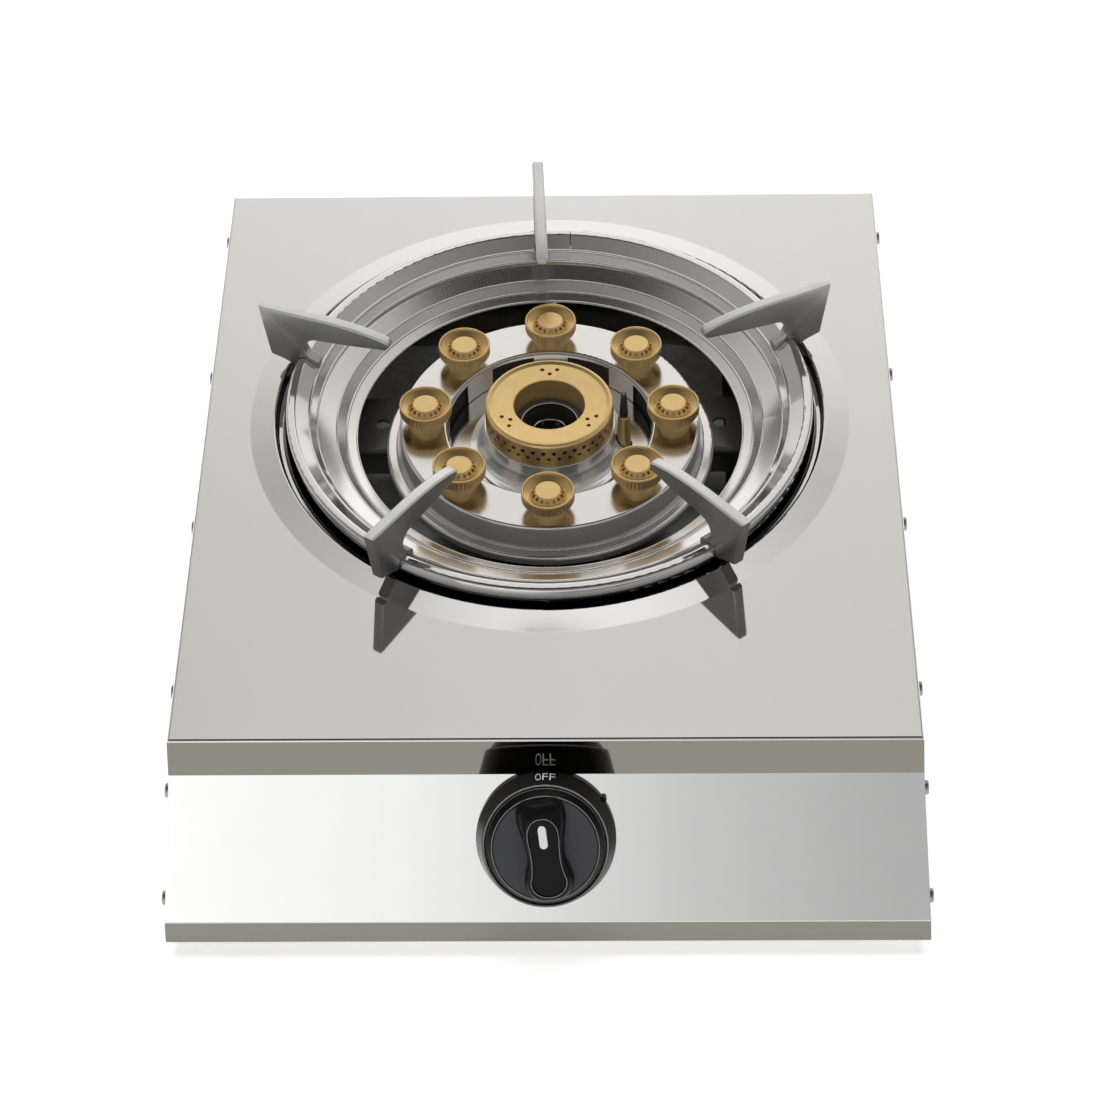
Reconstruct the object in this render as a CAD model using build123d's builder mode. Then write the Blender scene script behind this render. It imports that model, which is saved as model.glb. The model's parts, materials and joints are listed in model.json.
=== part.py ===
from build123d import *
import os
from math import cos, pi, radians, sin, sqrt, tan

# A table-top gas stove with one burner, in millimetres.
# +Z is up, the front faces -Y, and the origin is on the floor under the middle of the outline.

# Sheet body
TOP_WIDTH = 300.0  # across the top panel
LIP_HEIGHT = 21.0  # flange folded down all round the top panel
PANEL_TILT = 35.0  # lean of the front panel from upright, in degrees
PANEL_LENGTH = 62.0  # down the slope of the front panel
BOTTOM_LIP = 13.5  # upright strip under the slope
SIDE_FLARE = 4.0  # lean of each side, outwards at the bottom, in degrees
SHEET = 0.8  # stainless sheet
FIT = 0.1  # clearance between sheets that lie on each other
SEAT_GAP = 0.3  # clearance between a lift-off piece and what locates it
FOLD_DROP = 0.8  # front panel's upper fold below the lip's edge
FOLD_RADIUS = 1.2  # outside radius of a folded sheet
TUCK = 13.0  # front panel's strip behind the lip
SIDE_FLANGE = 15.0  # front panel's side flanges
FLOOR_FLANGE = 12.0  # side and rear panels' flanges under the base plate
FOOT_HEIGHT = 10.0  # body above the floor

# Dish in the top panel
BURNER_SETBACK = 188.5  # burner's axis behind the front lip
BURNER_REAR = 149.0  # top panel behind the burner's axis
DISH_SLOPE_WIDTH = 11.5  # band that rises from the top panel to the dish's crown
DISH_RISE = 2.2  # crown over the top panel
DISH_WALL_LEAN = 0.6  # crown outside the foot of the wall that drops to the seat
DISH_EDGE = 3.0  # flat part of the pressing outside the rising band
DISH_BENDS = (2.0, 1.2, 0.6)  # at the panel, at the crown and at the seat
SEAT_MARGIN = 1.5  # seat beyond the pan support ring's foot
SEAT_WIDTH = 12.5
DISH_DEPTH = 2.2  # seat under the top panel

# Drip tray: width of each band inwards, and its inner edge's depth under the top panel
TRAY_RIM_GAP = 5.0  # rim inside the pan support ring's foot
TRAY_SHOULDER_GAP = 4.0  # shoulder inside the opening
TRAY_SLOPE_WIDTH, TRAY_SLOPE_DEPTH = 8.7, 4.6
TRAY_STEP_WIDTH, TRAY_STEP_DEPTH = 4.1, 8.2
TRAY_LEDGE_WIDTH, TRAY_LEDGE_DEPTH = 4.6, 9.8
TRAY_BEND = 1.2

# Pan support ring: width of each band inwards, and its inner edge's height over the top panel
RING_SHEET = 1.0
RING_FOOT_RADIUS = 117.0
RING_WALL_LEAN, RING_CREST_HEIGHT = 2.6, 8.1
RING_CREST_WIDTH = 3.5
RING_SLOPE_WIDTH, RING_BEAD_HEIGHT = 6.2, 3.3
RING_LIP_WIDTH, RING_LIP_HEIGHT = 3.3, -0.1
RING_BEND = 1.6
RING_SEAM_ANGLE = 85.7  # butt joint of the rolled strip
RING_SEAM_GAP = 0.35

# Claws: places along the arm are from the tip, and drops are under the heel's top
CLAW_COUNT = 5
CLAW_ANGLE = 92.7  # first claw, at the back
CLAW_THICKNESS = 5.2
CLAW_TIP_RADIUS = 71.4
CLAW_HEEL_OVERHANG = 14.4  # heel's top beyond the ring's foot
CLAW_TOP = 34.2  # heel's top over the top panel
CLAW_TIP_CORNER, CLAW_TIP_DROP, CLAW_TIP_FACE = 1.0, 8.4, 2.2
CLAW_ARM_OUTER, CLAW_ARM_OUTER_DROP = 12.0, 5.0
CLAW_ARM_MIDDLE, CLAW_ARM_MIDDLE_DROP = 26.0, 2.6
CLAW_UNDER_TIP, CLAW_UNDER_TIP_DROP = 2.0, 13.0
CLAW_UNDER_ARM, CLAW_UNDER_ARM_DROP = 14.0, 13.9
CLAW_UNDER_HOOK_DROP = 14.7
CLAW_HEEL_CURVE, CLAW_HEEL_CURVE_DROP = 1.6, 11.0
CLAW_HEEL_LEAN, CLAW_HEEL_DROP = 4.0, 26.0
CLAW_SHOE_OUT, CLAW_SHOE_DROP = 4.5, 28.0  # shoe's outer corner beyond the ring's foot
CLAW_SHOE_IN, CLAW_FOOT_DROP = 1.0, 30.8
CLAW_TOE_DROP, CLAW_TOE_WIDTH, CLAW_TOE_RISE = 27.4, 3.0, 2.8
CLAW_TOE_GAP = 0.6  # toe outside the ring's bead
CLAW_HOOK_DEPTH, CLAW_HOOK_DROP, CLAW_HOOK_REACH = 6.4, 19.6, 1.6
CLAW_ROUND = 0.7
CLAW_ROUND_FROM = 3.0  # rounded edges start this far over the ring's crest

# Burner: depths are under the top panel
COVER_SHEET = 1.0
COVER_TOP_DEPTH = 5.5
COVER_TOP_RADIUS = 65.6
COVER_FLARE = 2.0  # waist beyond the top's edge
COVER_FLANGE_WIDTH = 4.4
COVER_FLANGE_DEPTH = 17.4
COVER_FOOT_DEPTH = 21.4
COVER_HOLE_RADIUS = 45.0
COVER_BEND, COVER_WAIST_BEND = 1.4, 0.5
COVER_WINDOW_ARC = 25.7  # air window between two nozzles, in degrees
COVER_WINDOW_DROP = 2.6  # window's upper edge under the cover's top
WELL_DEPTH = 19.2
WELL_SHEET = 1.0
POST_GAP = 0.5  # post round the inner chamber
POST_WALL = 0.8
POST_FOOT_WIDTH, POST_FOOT_RISE, POST_FOOT_BEND = 6.5, 0.4, 4.0
POST_FLARE, POST_FLARE_HEIGHT, POST_FLARE_BEND = 3.0, 5.0, 6.0
CHAMBER_WALL = 3.0
CHAMBER_GAP = 0.6  # outer chamber inside the cover
AIR_STEP = 5.0  # narrower mouth at the air tube's foot
RIB_COUNT = 3
RIB_WIDTH = 11.0

# Brass centre cap
CAP_RADIUS = 28.0
CAP_HOLE_RADIUS = 15.5
CAP_HEIGHT = 12.0
CAP_TOP_HEIGHT = 6.0  # over the top panel
CAP_WALL = 2.0
CAP_DISH = 1.1
CAP_CHAMFER = 1.0
CAP_EDGE = 0.3
CAP_OVERHANG = 0.8  # beyond the inner chamber's wall
CAP_SPIGOT = 4.0
CAP_PORTS = 38  # flame holes in each of two rows
CAP_ROWS = ((4.4, 1.0), (7.6, 0.8))  # each row's depth and its holes' radius
CAP_CLUSTERS = 3  # groups of three holes in the top
CLUSTER_MARGIN = 3.8  # inner hole of a group from the centre hole's edge
CLUSTER_REACH, CLUSTER_SPREAD, CLUSTER_HOLE_RADIUS = 2.5, 3.3, 0.95

# Brass flame nozzles
NOZZLE_COUNT = 8
NOZZLE_INSET = 1.3  # nozzles' circle inside the middle of the cover's top
NOZZLE_RIM_RADIUS = 11.4
NOZZLE_TOP_HEIGHT = 6.0
NOZZLE_RIM_HEIGHT = 5.2
NOZZLE_NECK_RADIUS = 7.4
NOZZLE_STEM_RADIUS = 6.0
NOZZLE_STEM_LENGTH = 7.0
NOZZLE_COLLAR, NOZZLE_COLLAR_HEIGHT = 0.9, 0.8
NOZZLE_UNDERCUT = 1.2  # height of the taper under the rim
NOZZLE_EDGE = 0.4
NOZZLE_RIM_DROP = 1.1  # dish's outer edge under the rim
NOZZLE_RECESS_DEPTH = 2.5
NOZZLE_BOSS_RADIUS, NOZZLE_BOSS_FOOT, NOZZLE_BOSS_DROP = 5.3, 7.6, 0.2
NOZZLE_PORTS = 16
NOZZLE_PORT_RADIUS, NOZZLE_PORT_DEPTH = 0.8, 2.0
KNURL_TEETH = 44
KNURL_DEPTH, KNURL_ROOT, KNURL_TOP, KNURL_FOOT = 0.35, 0.1, 1.5, 0.3

# Igniter
IGNITER_GAP = 0.8  # sleeve outside the centre post
IGNITER_TIP_HEIGHT = 11.0
IGNITER_TIP_RADIUS = 1.2
IGNITER_ROOT_RADIUS = 2.0
IGNITER_SLEEVE_RADIUS, IGNITER_SLEEVE_FOOT = 2.6, 3.2
IGNITER_SLEEVE_DEPTH, IGNITER_SLEEVE_EDGE = 1.8, 0.4
IGNITER_ROD_RADIUS = 1.0
IGNITER_HOLE_RADIUS = 3.8
INSULATOR_RADIUS = 2.9
INSULATOR_FOOT_DEPTH = 33.5

# Crossbar and heat shield
CROSSBAR_DEPTH = 30.0
CROSSBAR_SETBACK = 6.9  # front edge behind the burner's axis
CROSSBAR_WIDTH = 36.0
CROSSBAR_FLANGE = 13.7
CROSSBAR_SPAN = 236.0
CROSSBAR_SHEET = 1.2
CROSSBAR_FOOT = 14.0
CROSSBAR_HOLE_SPACING = 151.4
CROSSBAR_HOLE_RADIUS = 3.0
SHIELD_GAP = 4.0  # shield under the mixing tubes
SHIELD_LEFT, SHIELD_RIGHT = 96.0, 79.5
SHIELD_FRONT, SHIELD_REAR = 40.0, 124.0
SHIELD_CORNER = 24.0

# Mixing tubes, jets and air shutters
TUBE_RADIUS = 11.0
TUBE_MOUTH_STEP = 1.0  # mouth's ring over the tube
TUBE_MOUTH_WALL = 2.0
TUBE_MOUTH_LENGTH = 18.0
OUTER_NECK_RADIUS, OUTER_NECK_BORE = 8.0, 5.0
INNER_NECK_RADIUS, INNER_NECK_BORE = 6.6, 3.8
TUBE_END = 3.0  # closed end beyond the neck
SHUTTER_WALL = 1.2
SHUTTER_PLAY = 0.05  # running clearance on the tube's mouth
SHUTTER_LENGTH = 14.0
SHUTTER_GAP = 1.5  # between the two shutters
WINDOW_COUNT = 3
WINDOW_LENGTH = 7.0
WINDOW_ARC = 50.0
JET_GAP = 8.0
JET_LENGTH = 14.0
JET_FLATS = 11.0
JET_HEX_LENGTH, JET_NOSE_RADIUS, JET_TAPER = 4.7, 4.6, 12.0
JET_ORIFICE = 0.6
TUBE_STAND_THICKNESS = 2.0
TUBE_STAND_SETBACK = 48.0  # behind the mouths

# Knob, valve and piezo, along the knob's axis from the front panel
KNOB_DROP = 26.4  # knob's axis below the upper fold, down the slope
BEZEL_RADIUS = 28.2
BEZEL_EDGE = 2.5
BEZEL_SLOPE_WIDTH = 3.0
BEZEL_HEIGHT = 13.0
BEZEL_WALL = 0.8
BEZEL_BREAK = 0.3
BEZEL_FLOOR = 1.5
BEZEL_TAB_ANGLE = 35.0
BEZEL_TAB_RADIUS = 1.3
KNOB_PLAY = 0.5
KNOB_FACE_HEIGHT = 16.5
KNOB_SHOULDER = 2.4  # sloping edge round the face
KNOB_PROUD = 0.2  # shoulder's foot over the bezel
KNOB_SKIRT_LOW = 5.5
KNOB_WALL = 1.8
KNOB_HUB_RADIUS = 7.0
KNOB_REST_TURN = 7.0
GRIP_HEIGHT = 8.0
GRIP_MARGIN = 1.0  # face beyond the grip's ends
GRIP_UPPER_WIDTH, GRIP_WAIST_WIDTH, GRIP_LOWER_WIDTH = 18.4, 12.6, 15.4
GRIP_WAIST_UP = -2.0
GRIP_DRAFT = 1.3  # how far the sides lean in over the grip's height
GRIP_SLOPE_START = 13.0
GRIP_SLOPE = 34.0
MARK_LENGTH, MARK_WIDTH, MARK_DEPTH = 9.2, 3.2, 1.2
MARK_UP = 6.7
SPINDLE_RADIUS = 3.0
SPINDLE_PLAY = 0.05
SPINDLE_COLLAR_RADIUS = 5.0
SPINDLE_TOP = 14.0
PANEL_HOLE_RADIUS = 6.0
PUSH_TRAVEL = 3.0
WASHER_DEPTH, WASHER_THICKNESS, WASHER_RADIUS = 3.6, 0.8, 5.4
SPRING_WIRE, SPRING_RADIUS, SPRING_TURNS = 0.7, 4.1, 4
BRACKET_DEPTH = 10.6  # bracket's face behind the front panel
BRACKET_SHEET = 1.2
BRACKET_WIDTH, BRACKET_HEIGHT, BRACKET_TAB = 34.0, 24.0, 5.0
VALVE_WIDTH, VALVE_HEIGHT, VALVE_LENGTH = 26.0, 24.0, 26.0
MANIFOLD_WIDTH, MANIFOLD_HEIGHT, MANIFOLD_DEPTH = 50.0, 14.0, 12.0
INLET_BOSS_RADIUS, INLET_BOSS_LENGTH, PIPE_SOCKET = 7.0, 10.0, 8.0
PIEZO_LENGTH, PIEZO_SIZE = 34.0, 14.0

# Vents
VENT_COUNT, VENT_STEP, VENT_LENGTH, VENT_WIDTH = 9, 14.0, 28.0, 5.0
FLOOR_SLOTS = 3  # rows and columns
FLOOR_SLOT_STEP, FLOOR_SLOT_ROW_STEP = 52.0, 40.0
FLOOR_SLOT_LENGTH, FLOOR_SLOT_WIDTH = 30.0, 6.0

# Gas inlet at the back
PIPE_RADIUS, PIPE_BORE, PIPE_BEND = 4.0, 3.0, 18.0
INLET_OFFSET = 100.0  # left of the middle
INLET_REACH = 32.0  # hose tail's end behind the top panel's rear edge
TAIL_RADIUS, TAIL_GROOVE, TAIL_BORE = 4.75, 4.2, 2.6
TAIL_LAND, TAIL_LANDS = 3.0, 4
INLET_HEX, INLET_HEX_LENGTH = 18.0, 8.0
INLET_SHANK_RADIUS = 6.5
NUT_LENGTH = 5.0

# Ignition lead
LEAD_RADIUS = 1.5
LEAD_BEND, LEAD_END_BEND = 8.0, 4.5

# Feet and screws
FOOT_RADIUS, FOOT_TIP_RADIUS = 10.0, 8.5
FOOT_INSET = 26.0
SCREW_RADIUS, SCREW_HEAD_RADIUS, SCREW_HEAD_HEIGHT, SCREW_LENGTH = 1.5, 3.0, 1.8, 6.0
SIDE_SCREWS = 4
SIDE_SCREW_FRONT, SIDE_SCREW_REAR = 36.0, 20.5  # from the front lip and from the rear edge
SIDE_SCREW_DROP = 11.0
FRONT_SCREW_DEPTHS = (10.0, 47.0)  # below the upper fold
BURNER_SCREW_RADIUS = 2.0
BURNER_SCREW_OFFSET = 46.0

# Places worked out from the sizes
tilt = radians(PANEL_TILT)
flare = radians(SIDE_FLARE)
panel_run = PANEL_LENGTH * sin(tilt)
toe_z = FOOT_HEIGHT + BOTTOM_LIP
fold_z = toe_z + PANEL_LENGTH * cos(tilt)
lip_low = fold_z + FOLD_DROP
top_z = lip_low + LIP_HEIGHT
bezel_top_radius = BEZEL_RADIUS - BEZEL_SLOPE_WIDTH
bezel_bore = bezel_top_radius - BEZEL_WALL
knob_radius = bezel_bore - KNOB_PLAY
knob_face_radius = knob_radius - KNOB_SHOULDER
grip_end = knob_face_radius - GRIP_MARGIN
grip_tip = (grip_end - GRIP_LOWER_WIDTH / 2) * cos(radians(KNOB_REST_TURN)) + GRIP_LOWER_WIDTH / 2 - GRIP_DRAFT
knob_reach = KNOB_DROP * sin(tilt) + (KNOB_FACE_HEIGHT + GRIP_HEIGHT) * cos(tilt) + grip_tip * sin(tilt)
top_depth = BURNER_SETBACK + BURNER_REAR
front_y = (knob_reach - SHEET - FIT - top_depth - INLET_REACH) / 2
rear_y = front_y + top_depth
fold_y = front_y + SHEET + FIT
toe_y = fold_y - panel_run
body_low = FOOT_HEIGHT
far_side = TOP_WIDTH  # beyond every side wall
side_low = body_low + SHEET + FIT
base_low = side_low + SHEET
base_top = base_low + SHEET
wall_inset = SHEET + FIT  # side panels lie inside the flanges
tab_inset = 2 * wall_inset  # rear panel's tabs lie inside the side panels
rear_face = rear_y - SHEET - FIT
seat_z = top_z - DISH_DEPTH
seat_radius = RING_FOOT_RADIUS + SEAT_MARGIN
crown_radius = seat_radius + DISH_WALL_LEAN
dish_radius = crown_radius + DISH_SLOPE_WIDTH
opening_radius = seat_radius - SEAT_WIDTH
tray_shoulder_radius = opening_radius - TRAY_SHOULDER_GAP
tray_slope_radius = tray_shoulder_radius - TRAY_SLOPE_WIDTH
tray_step_radius = tray_slope_radius - TRAY_STEP_WIDTH
tray_hole_radius = tray_step_radius - TRAY_LEDGE_WIDTH
ring_crest_radius = RING_FOOT_RADIUS - RING_WALL_LEAN
ring_bead_radius = ring_crest_radius - RING_CREST_WIDTH - RING_SLOPE_WIDTH
ring_inner_radius = ring_bead_radius - RING_LIP_WIDTH
claw_heel_radius = RING_FOOT_RADIUS + CLAW_HEEL_OVERHANG
burner_y = front_y + BURNER_SETBACK
cover_waist_radius = COVER_TOP_RADIUS + COVER_FLARE
cover_flange_radius = cover_waist_radius + COVER_FLANGE_WIDTH
cover_z = top_z - COVER_TOP_DEPTH
well_z = top_z - WELL_DEPTH
cap_low = top_z + CAP_TOP_HEIGHT - CAP_HEIGHT
crossbar_z = top_z - CROSSBAR_DEPTH
crossbar_front = burner_y + CROSSBAR_SETBACK
chamber_inner_radius = COVER_HOLE_RADIUS + COVER_SHEET + SEAT_GAP
chamber_outer_radius = COVER_TOP_RADIUS - COVER_SHEET - CHAMBER_GAP
chamber_top = cover_z - COVER_SHEET - FIT
nozzle_circle_radius = (COVER_HOLE_RADIUS + COVER_TOP_RADIUS) / 2 - NOZZLE_INSET
inner_chamber_radius = CAP_RADIUS - CAP_OVERHANG
air_tube_outer = CAP_HOLE_RADIUS - SEAT_GAP
air_tube_radius = air_tube_outer - CHAMBER_WALL
post_radius = inner_chamber_radius + POST_GAP + POST_WALL
post_foot_radius = post_radius + POST_FOOT_WIDTH
igniter_radius = post_radius + IGNITER_SLEEVE_FOOT + IGNITER_GAP
tube_mouth_radius = TUBE_RADIUS + TUBE_MOUTH_STEP
shutter_bore = tube_mouth_radius + SHUTTER_PLAY
shutter_radius = shutter_bore + SHUTTER_WALL
tube_x = shutter_radius + SHUTTER_GAP / 2
knob_y = fold_y - KNOB_DROP * sin(tilt)
knob_z = fold_z - KNOB_DROP * cos(tilt)
valve_front = BRACKET_DEPTH + BRACKET_SHEET
valve_middle = valve_front + VALVE_LENGTH / 2
valve_y = knob_y + valve_middle * cos(tilt)
valve_z = knob_z - valve_middle * sin(tilt)
jet_y = valve_y + INLET_BOSS_RADIUS + FIT + MANIFOLD_DEPTH
mouth_y = jet_y + JET_LENGTH + JET_GAP
igniter_rod_low = top_z - INSULATOR_FOOT_DEPTH

burner_axis = Axis((0, burner_y, 0), (0, 0, 1))
knob_direction = Vector(0, -cos(tilt), sin(tilt))
knob_axis = Axis((0, knob_y, knob_z), knob_direction)
knob_plane = Plane(origin=(0, knob_y, knob_z), x_dir=(1, 0, 0), z_dir=knob_direction)
knob_section = Plane(origin=(0, knob_y, knob_z), x_dir=(1, 0, 0), z_dir=(0, -sin(tilt), -cos(tilt)))


def across(y):
    """Upright plane across the stove at y, drawn as X and Z and facing the front."""
    return Plane(origin=(0, y, 0), x_dir=(1, 0, 0), z_dir=(0, -1, 0))


burner_section = across(burner_y)


def burner_level(z):
    """Level plane at height z, centred on the burner."""
    return Plane.XY.offset(z).move(Location((0, burner_y, 0)))


def half_width(z, inset=0.0):
    """Half the body's width at height z, that far inside the flared sides."""
    return TOP_WIDTH / 2 + (top_z - z) * tan(flare) - inset / cos(flare)


def flared_outline(low, high, inset):
    """Front view of the body between two heights, that far inside the flared sides."""
    return [
        (-half_width(low, inset), low),
        (half_width(low, inset), low),
        (half_width(high, inset), high),
        (-half_width(high, inset), high),
    ]


def front_line(inset, low, high):
    """Side view of the front panel's line from top to bottom, that far behind its outer face."""
    shift = inset * tan(tilt / 2)
    return [
        (fold_y + inset, high),
        (fold_y + inset, fold_z - shift),
        (toe_y + inset, toe_z - shift),
        (toe_y + inset, low),
    ]


def side_wall(side, y, z):
    """Plane on the outside of a flared wall, facing out, at that depth and height."""
    return Plane(
        origin=(side * half_width(z), y, z),
        x_dir=(0, side, 0),
        z_dir=(side * cos(flare), 0, sin(flare)),
    )


def bent_sheet(points, radii, thickness):
    """Section of a sheet that follows the points, with its thickness on the left of the way along them."""
    with BuildLine() as outline:
        FilletPolyline(*points, radius=radii)
        offset(amount=thickness, side=Side.LEFT)
    make_face(outline.edges())


def wedges(count, arc, reach, start):
    """Wedges from a centre, that many degrees wide and out to that reach, spread evenly round it."""
    half_chord = reach * tan(radians(arc / 2))
    with PolarLocations(0, count, start_angle=start):
        Polygon((0, 0), (reach, -half_chord), (reach, half_chord), align=None)


def hexagon(across_flats):
    """Regular hexagon, by its width across the flats."""
    RegularPolygon(radius=across_flats / 2, side_count=6, major_radius=False)


def finish(piece, name):
    """Labels a finished piece and writes its file."""
    piece.part.label = name
    export_step(piece.part, f"parts/{name}.step")


os.makedirs("parts", exist_ok=True)

# Screw places, shared by the sheets that the screws pass through
screw_step = (top_depth - SIDE_SCREW_FRONT - SIDE_SCREW_REAR) / (SIDE_SCREWS - 1)
top_screw_places = [
    (front_y + SIDE_SCREW_FRONT + screw_step * number, top_z - SIDE_SCREW_DROP) for number in range(SIDE_SCREWS)
]
front_screw_places = [
    (fold_y + SIDE_FLANGE / 2 - depth * tan(tilt), fold_z - depth) for depth in FRONT_SCREW_DEPTHS
]
top_screw_walls = [side_wall(side, y, z) for side in (-1, 1) for y, z in top_screw_places]
front_screw_walls = [side_wall(side, y, z) for side in (-1, 1) for y, z in front_screw_places]
right_screw_walls = [side_wall(1, y, z) for y, z in top_screw_places + front_screw_places]
screw_hole_radius = SCREW_RADIUS + FIT
foot_places = [
    (side * (half_width(base_low) - FOOT_INSET), y)
    for side in (-1, 1)
    for y in (toe_y + FOOT_INSET, rear_y - FOOT_INSET)
]

# Top panel: a lid with its four flanges folded down and a raised dish round the burner
with BuildPart() as top_panel:
    with BuildSketch(across(rear_y)):
        Polygon(*flared_outline(lip_low, top_z, 0), align=None)
    extrude(amount=top_depth)
    fillet(top_panel.faces().sort_by(Axis.Z)[-1].edges(), radius=FOLD_RADIUS)
    with BuildSketch(across(rear_y - SHEET)):
        Polygon(*flared_outline(lip_low, top_z - SHEET, SHEET), align=None)
    extrude(amount=top_depth - 2 * SHEET, mode=Mode.SUBTRACT)
    with BuildSketch(burner_level(top_z)):
        Circle(dish_radius + DISH_EDGE)
    extrude(amount=-SHEET, mode=Mode.SUBTRACT)
    with BuildSketch(burner_section):
        bent_sheet(
            [
                (dish_radius + DISH_EDGE, top_z),
                (dish_radius, top_z),
                (crown_radius, top_z + DISH_RISE),
                (seat_radius, seat_z),
                (opening_radius, seat_z),
            ],
            DISH_BENDS,
            SHEET,
        )
    revolve(axis=burner_axis)
    with Locations(*top_screw_walls):
        Hole(radius=screw_hole_radius, depth=2 * SHEET)
finish(top_panel, "top_panel")

# Front panel: tucked behind the lip, sloping out to a bottom lip, with side and floor flanges
with BuildPart() as front_hollow:
    with BuildSketch(Plane.YZ):
        Polygon(
            *front_line(SHEET, body_low + SHEET, top_z),
            *reversed(front_line(2 * SIDE_FLANGE, body_low + SHEET, top_z)),
            align=None,
        )
    extrude(amount=far_side, both=True)
    with BuildSketch(across(rear_y)):
        Polygon(*flared_outline(body_low, top_z, SHEET), align=None)
    extrude(amount=2 * top_depth, mode=Mode.INTERSECT)

with BuildPart() as front_panel:
    with BuildSketch(Plane.YZ):
        Polygon(
            *front_line(0, body_low, lip_low - FIT),
            *reversed(front_line(SIDE_FLANGE, body_low, lip_low - FIT)),
            align=None,
        )
    extrude(amount=far_side, both=True)
    with BuildSketch(across(rear_y)):
        Polygon(*flared_outline(body_low, top_z, 0), align=None)
    extrude(amount=2 * top_depth, mode=Mode.INTERSECT)
    toe_edges = front_panel.edges().filter_by(Axis.X).group_by(Axis.Y)[0]
    fillet(toe_edges, radius=FOLD_RADIUS)
    add(front_hollow.part, mode=Mode.SUBTRACT)
    with BuildSketch(across(fold_y + SHEET)):
        with Locations((0, lip_low - FIT)):
            Rectangle(2 * half_width(top_z, wall_inset), TUCK, align=(Align.CENTER, Align.MIN))
    extrude(amount=SHEET)
    with BuildSketch(knob_plane):
        Circle(PANEL_HOLE_RADIUS)
    extrude(amount=-2 * SHEET, mode=Mode.SUBTRACT)
    with Locations(*front_screw_walls):
        Hole(radius=screw_hole_radius, depth=2 * SHEET)
finish(front_panel, "front_panel")

# Side panels: flared sheets inside the flanges, each with a floor flange
with BuildPart() as right_side_panel:
    with BuildSketch(Plane.YZ):
        Polygon(
            *front_line(wall_inset, side_low, top_z - SHEET - FIT),
            (rear_face, side_low),
            (rear_face, top_z - SHEET - FIT),
            align=None,
        )
    extrude(amount=far_side)
    with BuildSketch(across(rear_y)):
        Polygon(
            (half_width(side_low, wall_inset), side_low),
            (half_width(top_z, wall_inset), top_z),
            (half_width(top_z, wall_inset + SHEET), top_z),
            (half_width(side_low, wall_inset + SHEET), side_low),
            align=None,
        )
    extrude(amount=2 * top_depth, mode=Mode.INTERSECT)
    flange_rear = rear_face - FLOOR_FLANGE - FIT
    with BuildSketch(across(flange_rear)):
        Polygon(
            (half_width(side_low, wall_inset + SHEET / 2), side_low),
            (half_width(base_low, wall_inset + SHEET / 2), base_low),
            (half_width(base_low, wall_inset) - FLOOR_FLANGE, base_low),
            (half_width(base_low, wall_inset) - FLOOR_FLANGE, side_low),
            align=None,
        )
    extrude(amount=flange_rear - toe_y - SHEET - FIT)
    with Locations(*right_screw_walls):
        Hole(radius=screw_hole_radius, depth=4 * SHEET)
finish(right_side_panel, "right_side_panel")

with BuildPart() as left_side_panel:
    mirror(right_side_panel.part, about=Plane.YZ)
finish(left_side_panel, "left_side_panel")

# Rear panel: a shallow tray between the side panels, with vents and the gas inlet's hole
rear_plane = Plane(origin=(0, rear_face, 0), x_dir=(-1, 0, 0), z_dir=(0, 1, 0))
vent_middle = (base_top + lip_low) / 2
with BuildPart() as rear_panel:
    with BuildSketch(across(rear_face)):
        Polygon(*flared_outline(body_low, top_z - SHEET - FIT, tab_inset), align=None)
    extrude(amount=FLOOR_FLANGE)
    with BuildSketch(across(rear_face - SHEET)):
        Polygon(*flared_outline(body_low + SHEET, top_z, tab_inset + SHEET), align=None)
    extrude(amount=FLOOR_FLANGE, mode=Mode.SUBTRACT)
    with BuildSketch(rear_plane):
        with Locations((0, vent_middle)):
            with GridLocations(VENT_STEP, 1, VENT_COUNT, 1):
                SlotOverall(VENT_LENGTH, VENT_WIDTH, rotation=90)
        with Locations((INLET_OFFSET, valve_z)):
            Circle(INLET_SHANK_RADIUS + FIT)
    extrude(amount=-2 * SHEET, mode=Mode.SUBTRACT)
finish(rear_panel, "rear_panel")

# Base plate: lies on the side panels' floor flanges
base_front = toe_y + SHEET + SEAT_GAP
base_rear = rear_face - SHEET - SEAT_GAP
with BuildPart() as base_plate:
    with BuildSketch(Plane.XY.offset(base_low)):
        with Locations((0, (base_front + base_rear) / 2)):
            Rectangle(2 * half_width(base_top, tab_inset + wall_inset), base_rear - base_front)
        with Locations((0, burner_y)):
            with GridLocations(FLOOR_SLOT_STEP, FLOOR_SLOT_ROW_STEP, FLOOR_SLOTS, FLOOR_SLOTS):
                SlotOverall(FLOOR_SLOT_LENGTH, FLOOR_SLOT_WIDTH, rotation=90, mode=Mode.SUBTRACT)
        with Locations(*foot_places):
            Circle(screw_hole_radius, mode=Mode.SUBTRACT)
    extrude(amount=SHEET)
finish(base_plate, "base_plate")

# Rubber feet under the base plate, and the screws that hold them
foot_bore = SCREW_HEAD_RADIUS + SEAT_GAP
screw_seat = FOOT_HEIGHT / 2
for number, (x, y) in enumerate(foot_places, start=1):
    with BuildPart() as rubber_foot:
        with BuildSketch(Plane.XY.offset(base_low).move(Location((x, y, 0)))):
            Circle(FOOT_RADIUS)
        with BuildSketch(Plane.XY.move(Location((x, y, 0)))):
            Circle(FOOT_TIP_RADIUS)
        loft(ruled=True)
        with Locations((x, y, 0)):
            for bore, height in ((foot_bore, screw_seat), (screw_hole_radius, base_low)):
                Cylinder(bore, height, align=(Align.CENTER, Align.CENTER, Align.MIN), mode=Mode.SUBTRACT)
    finish(rubber_foot, f"rubber_foot_{number}")

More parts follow.
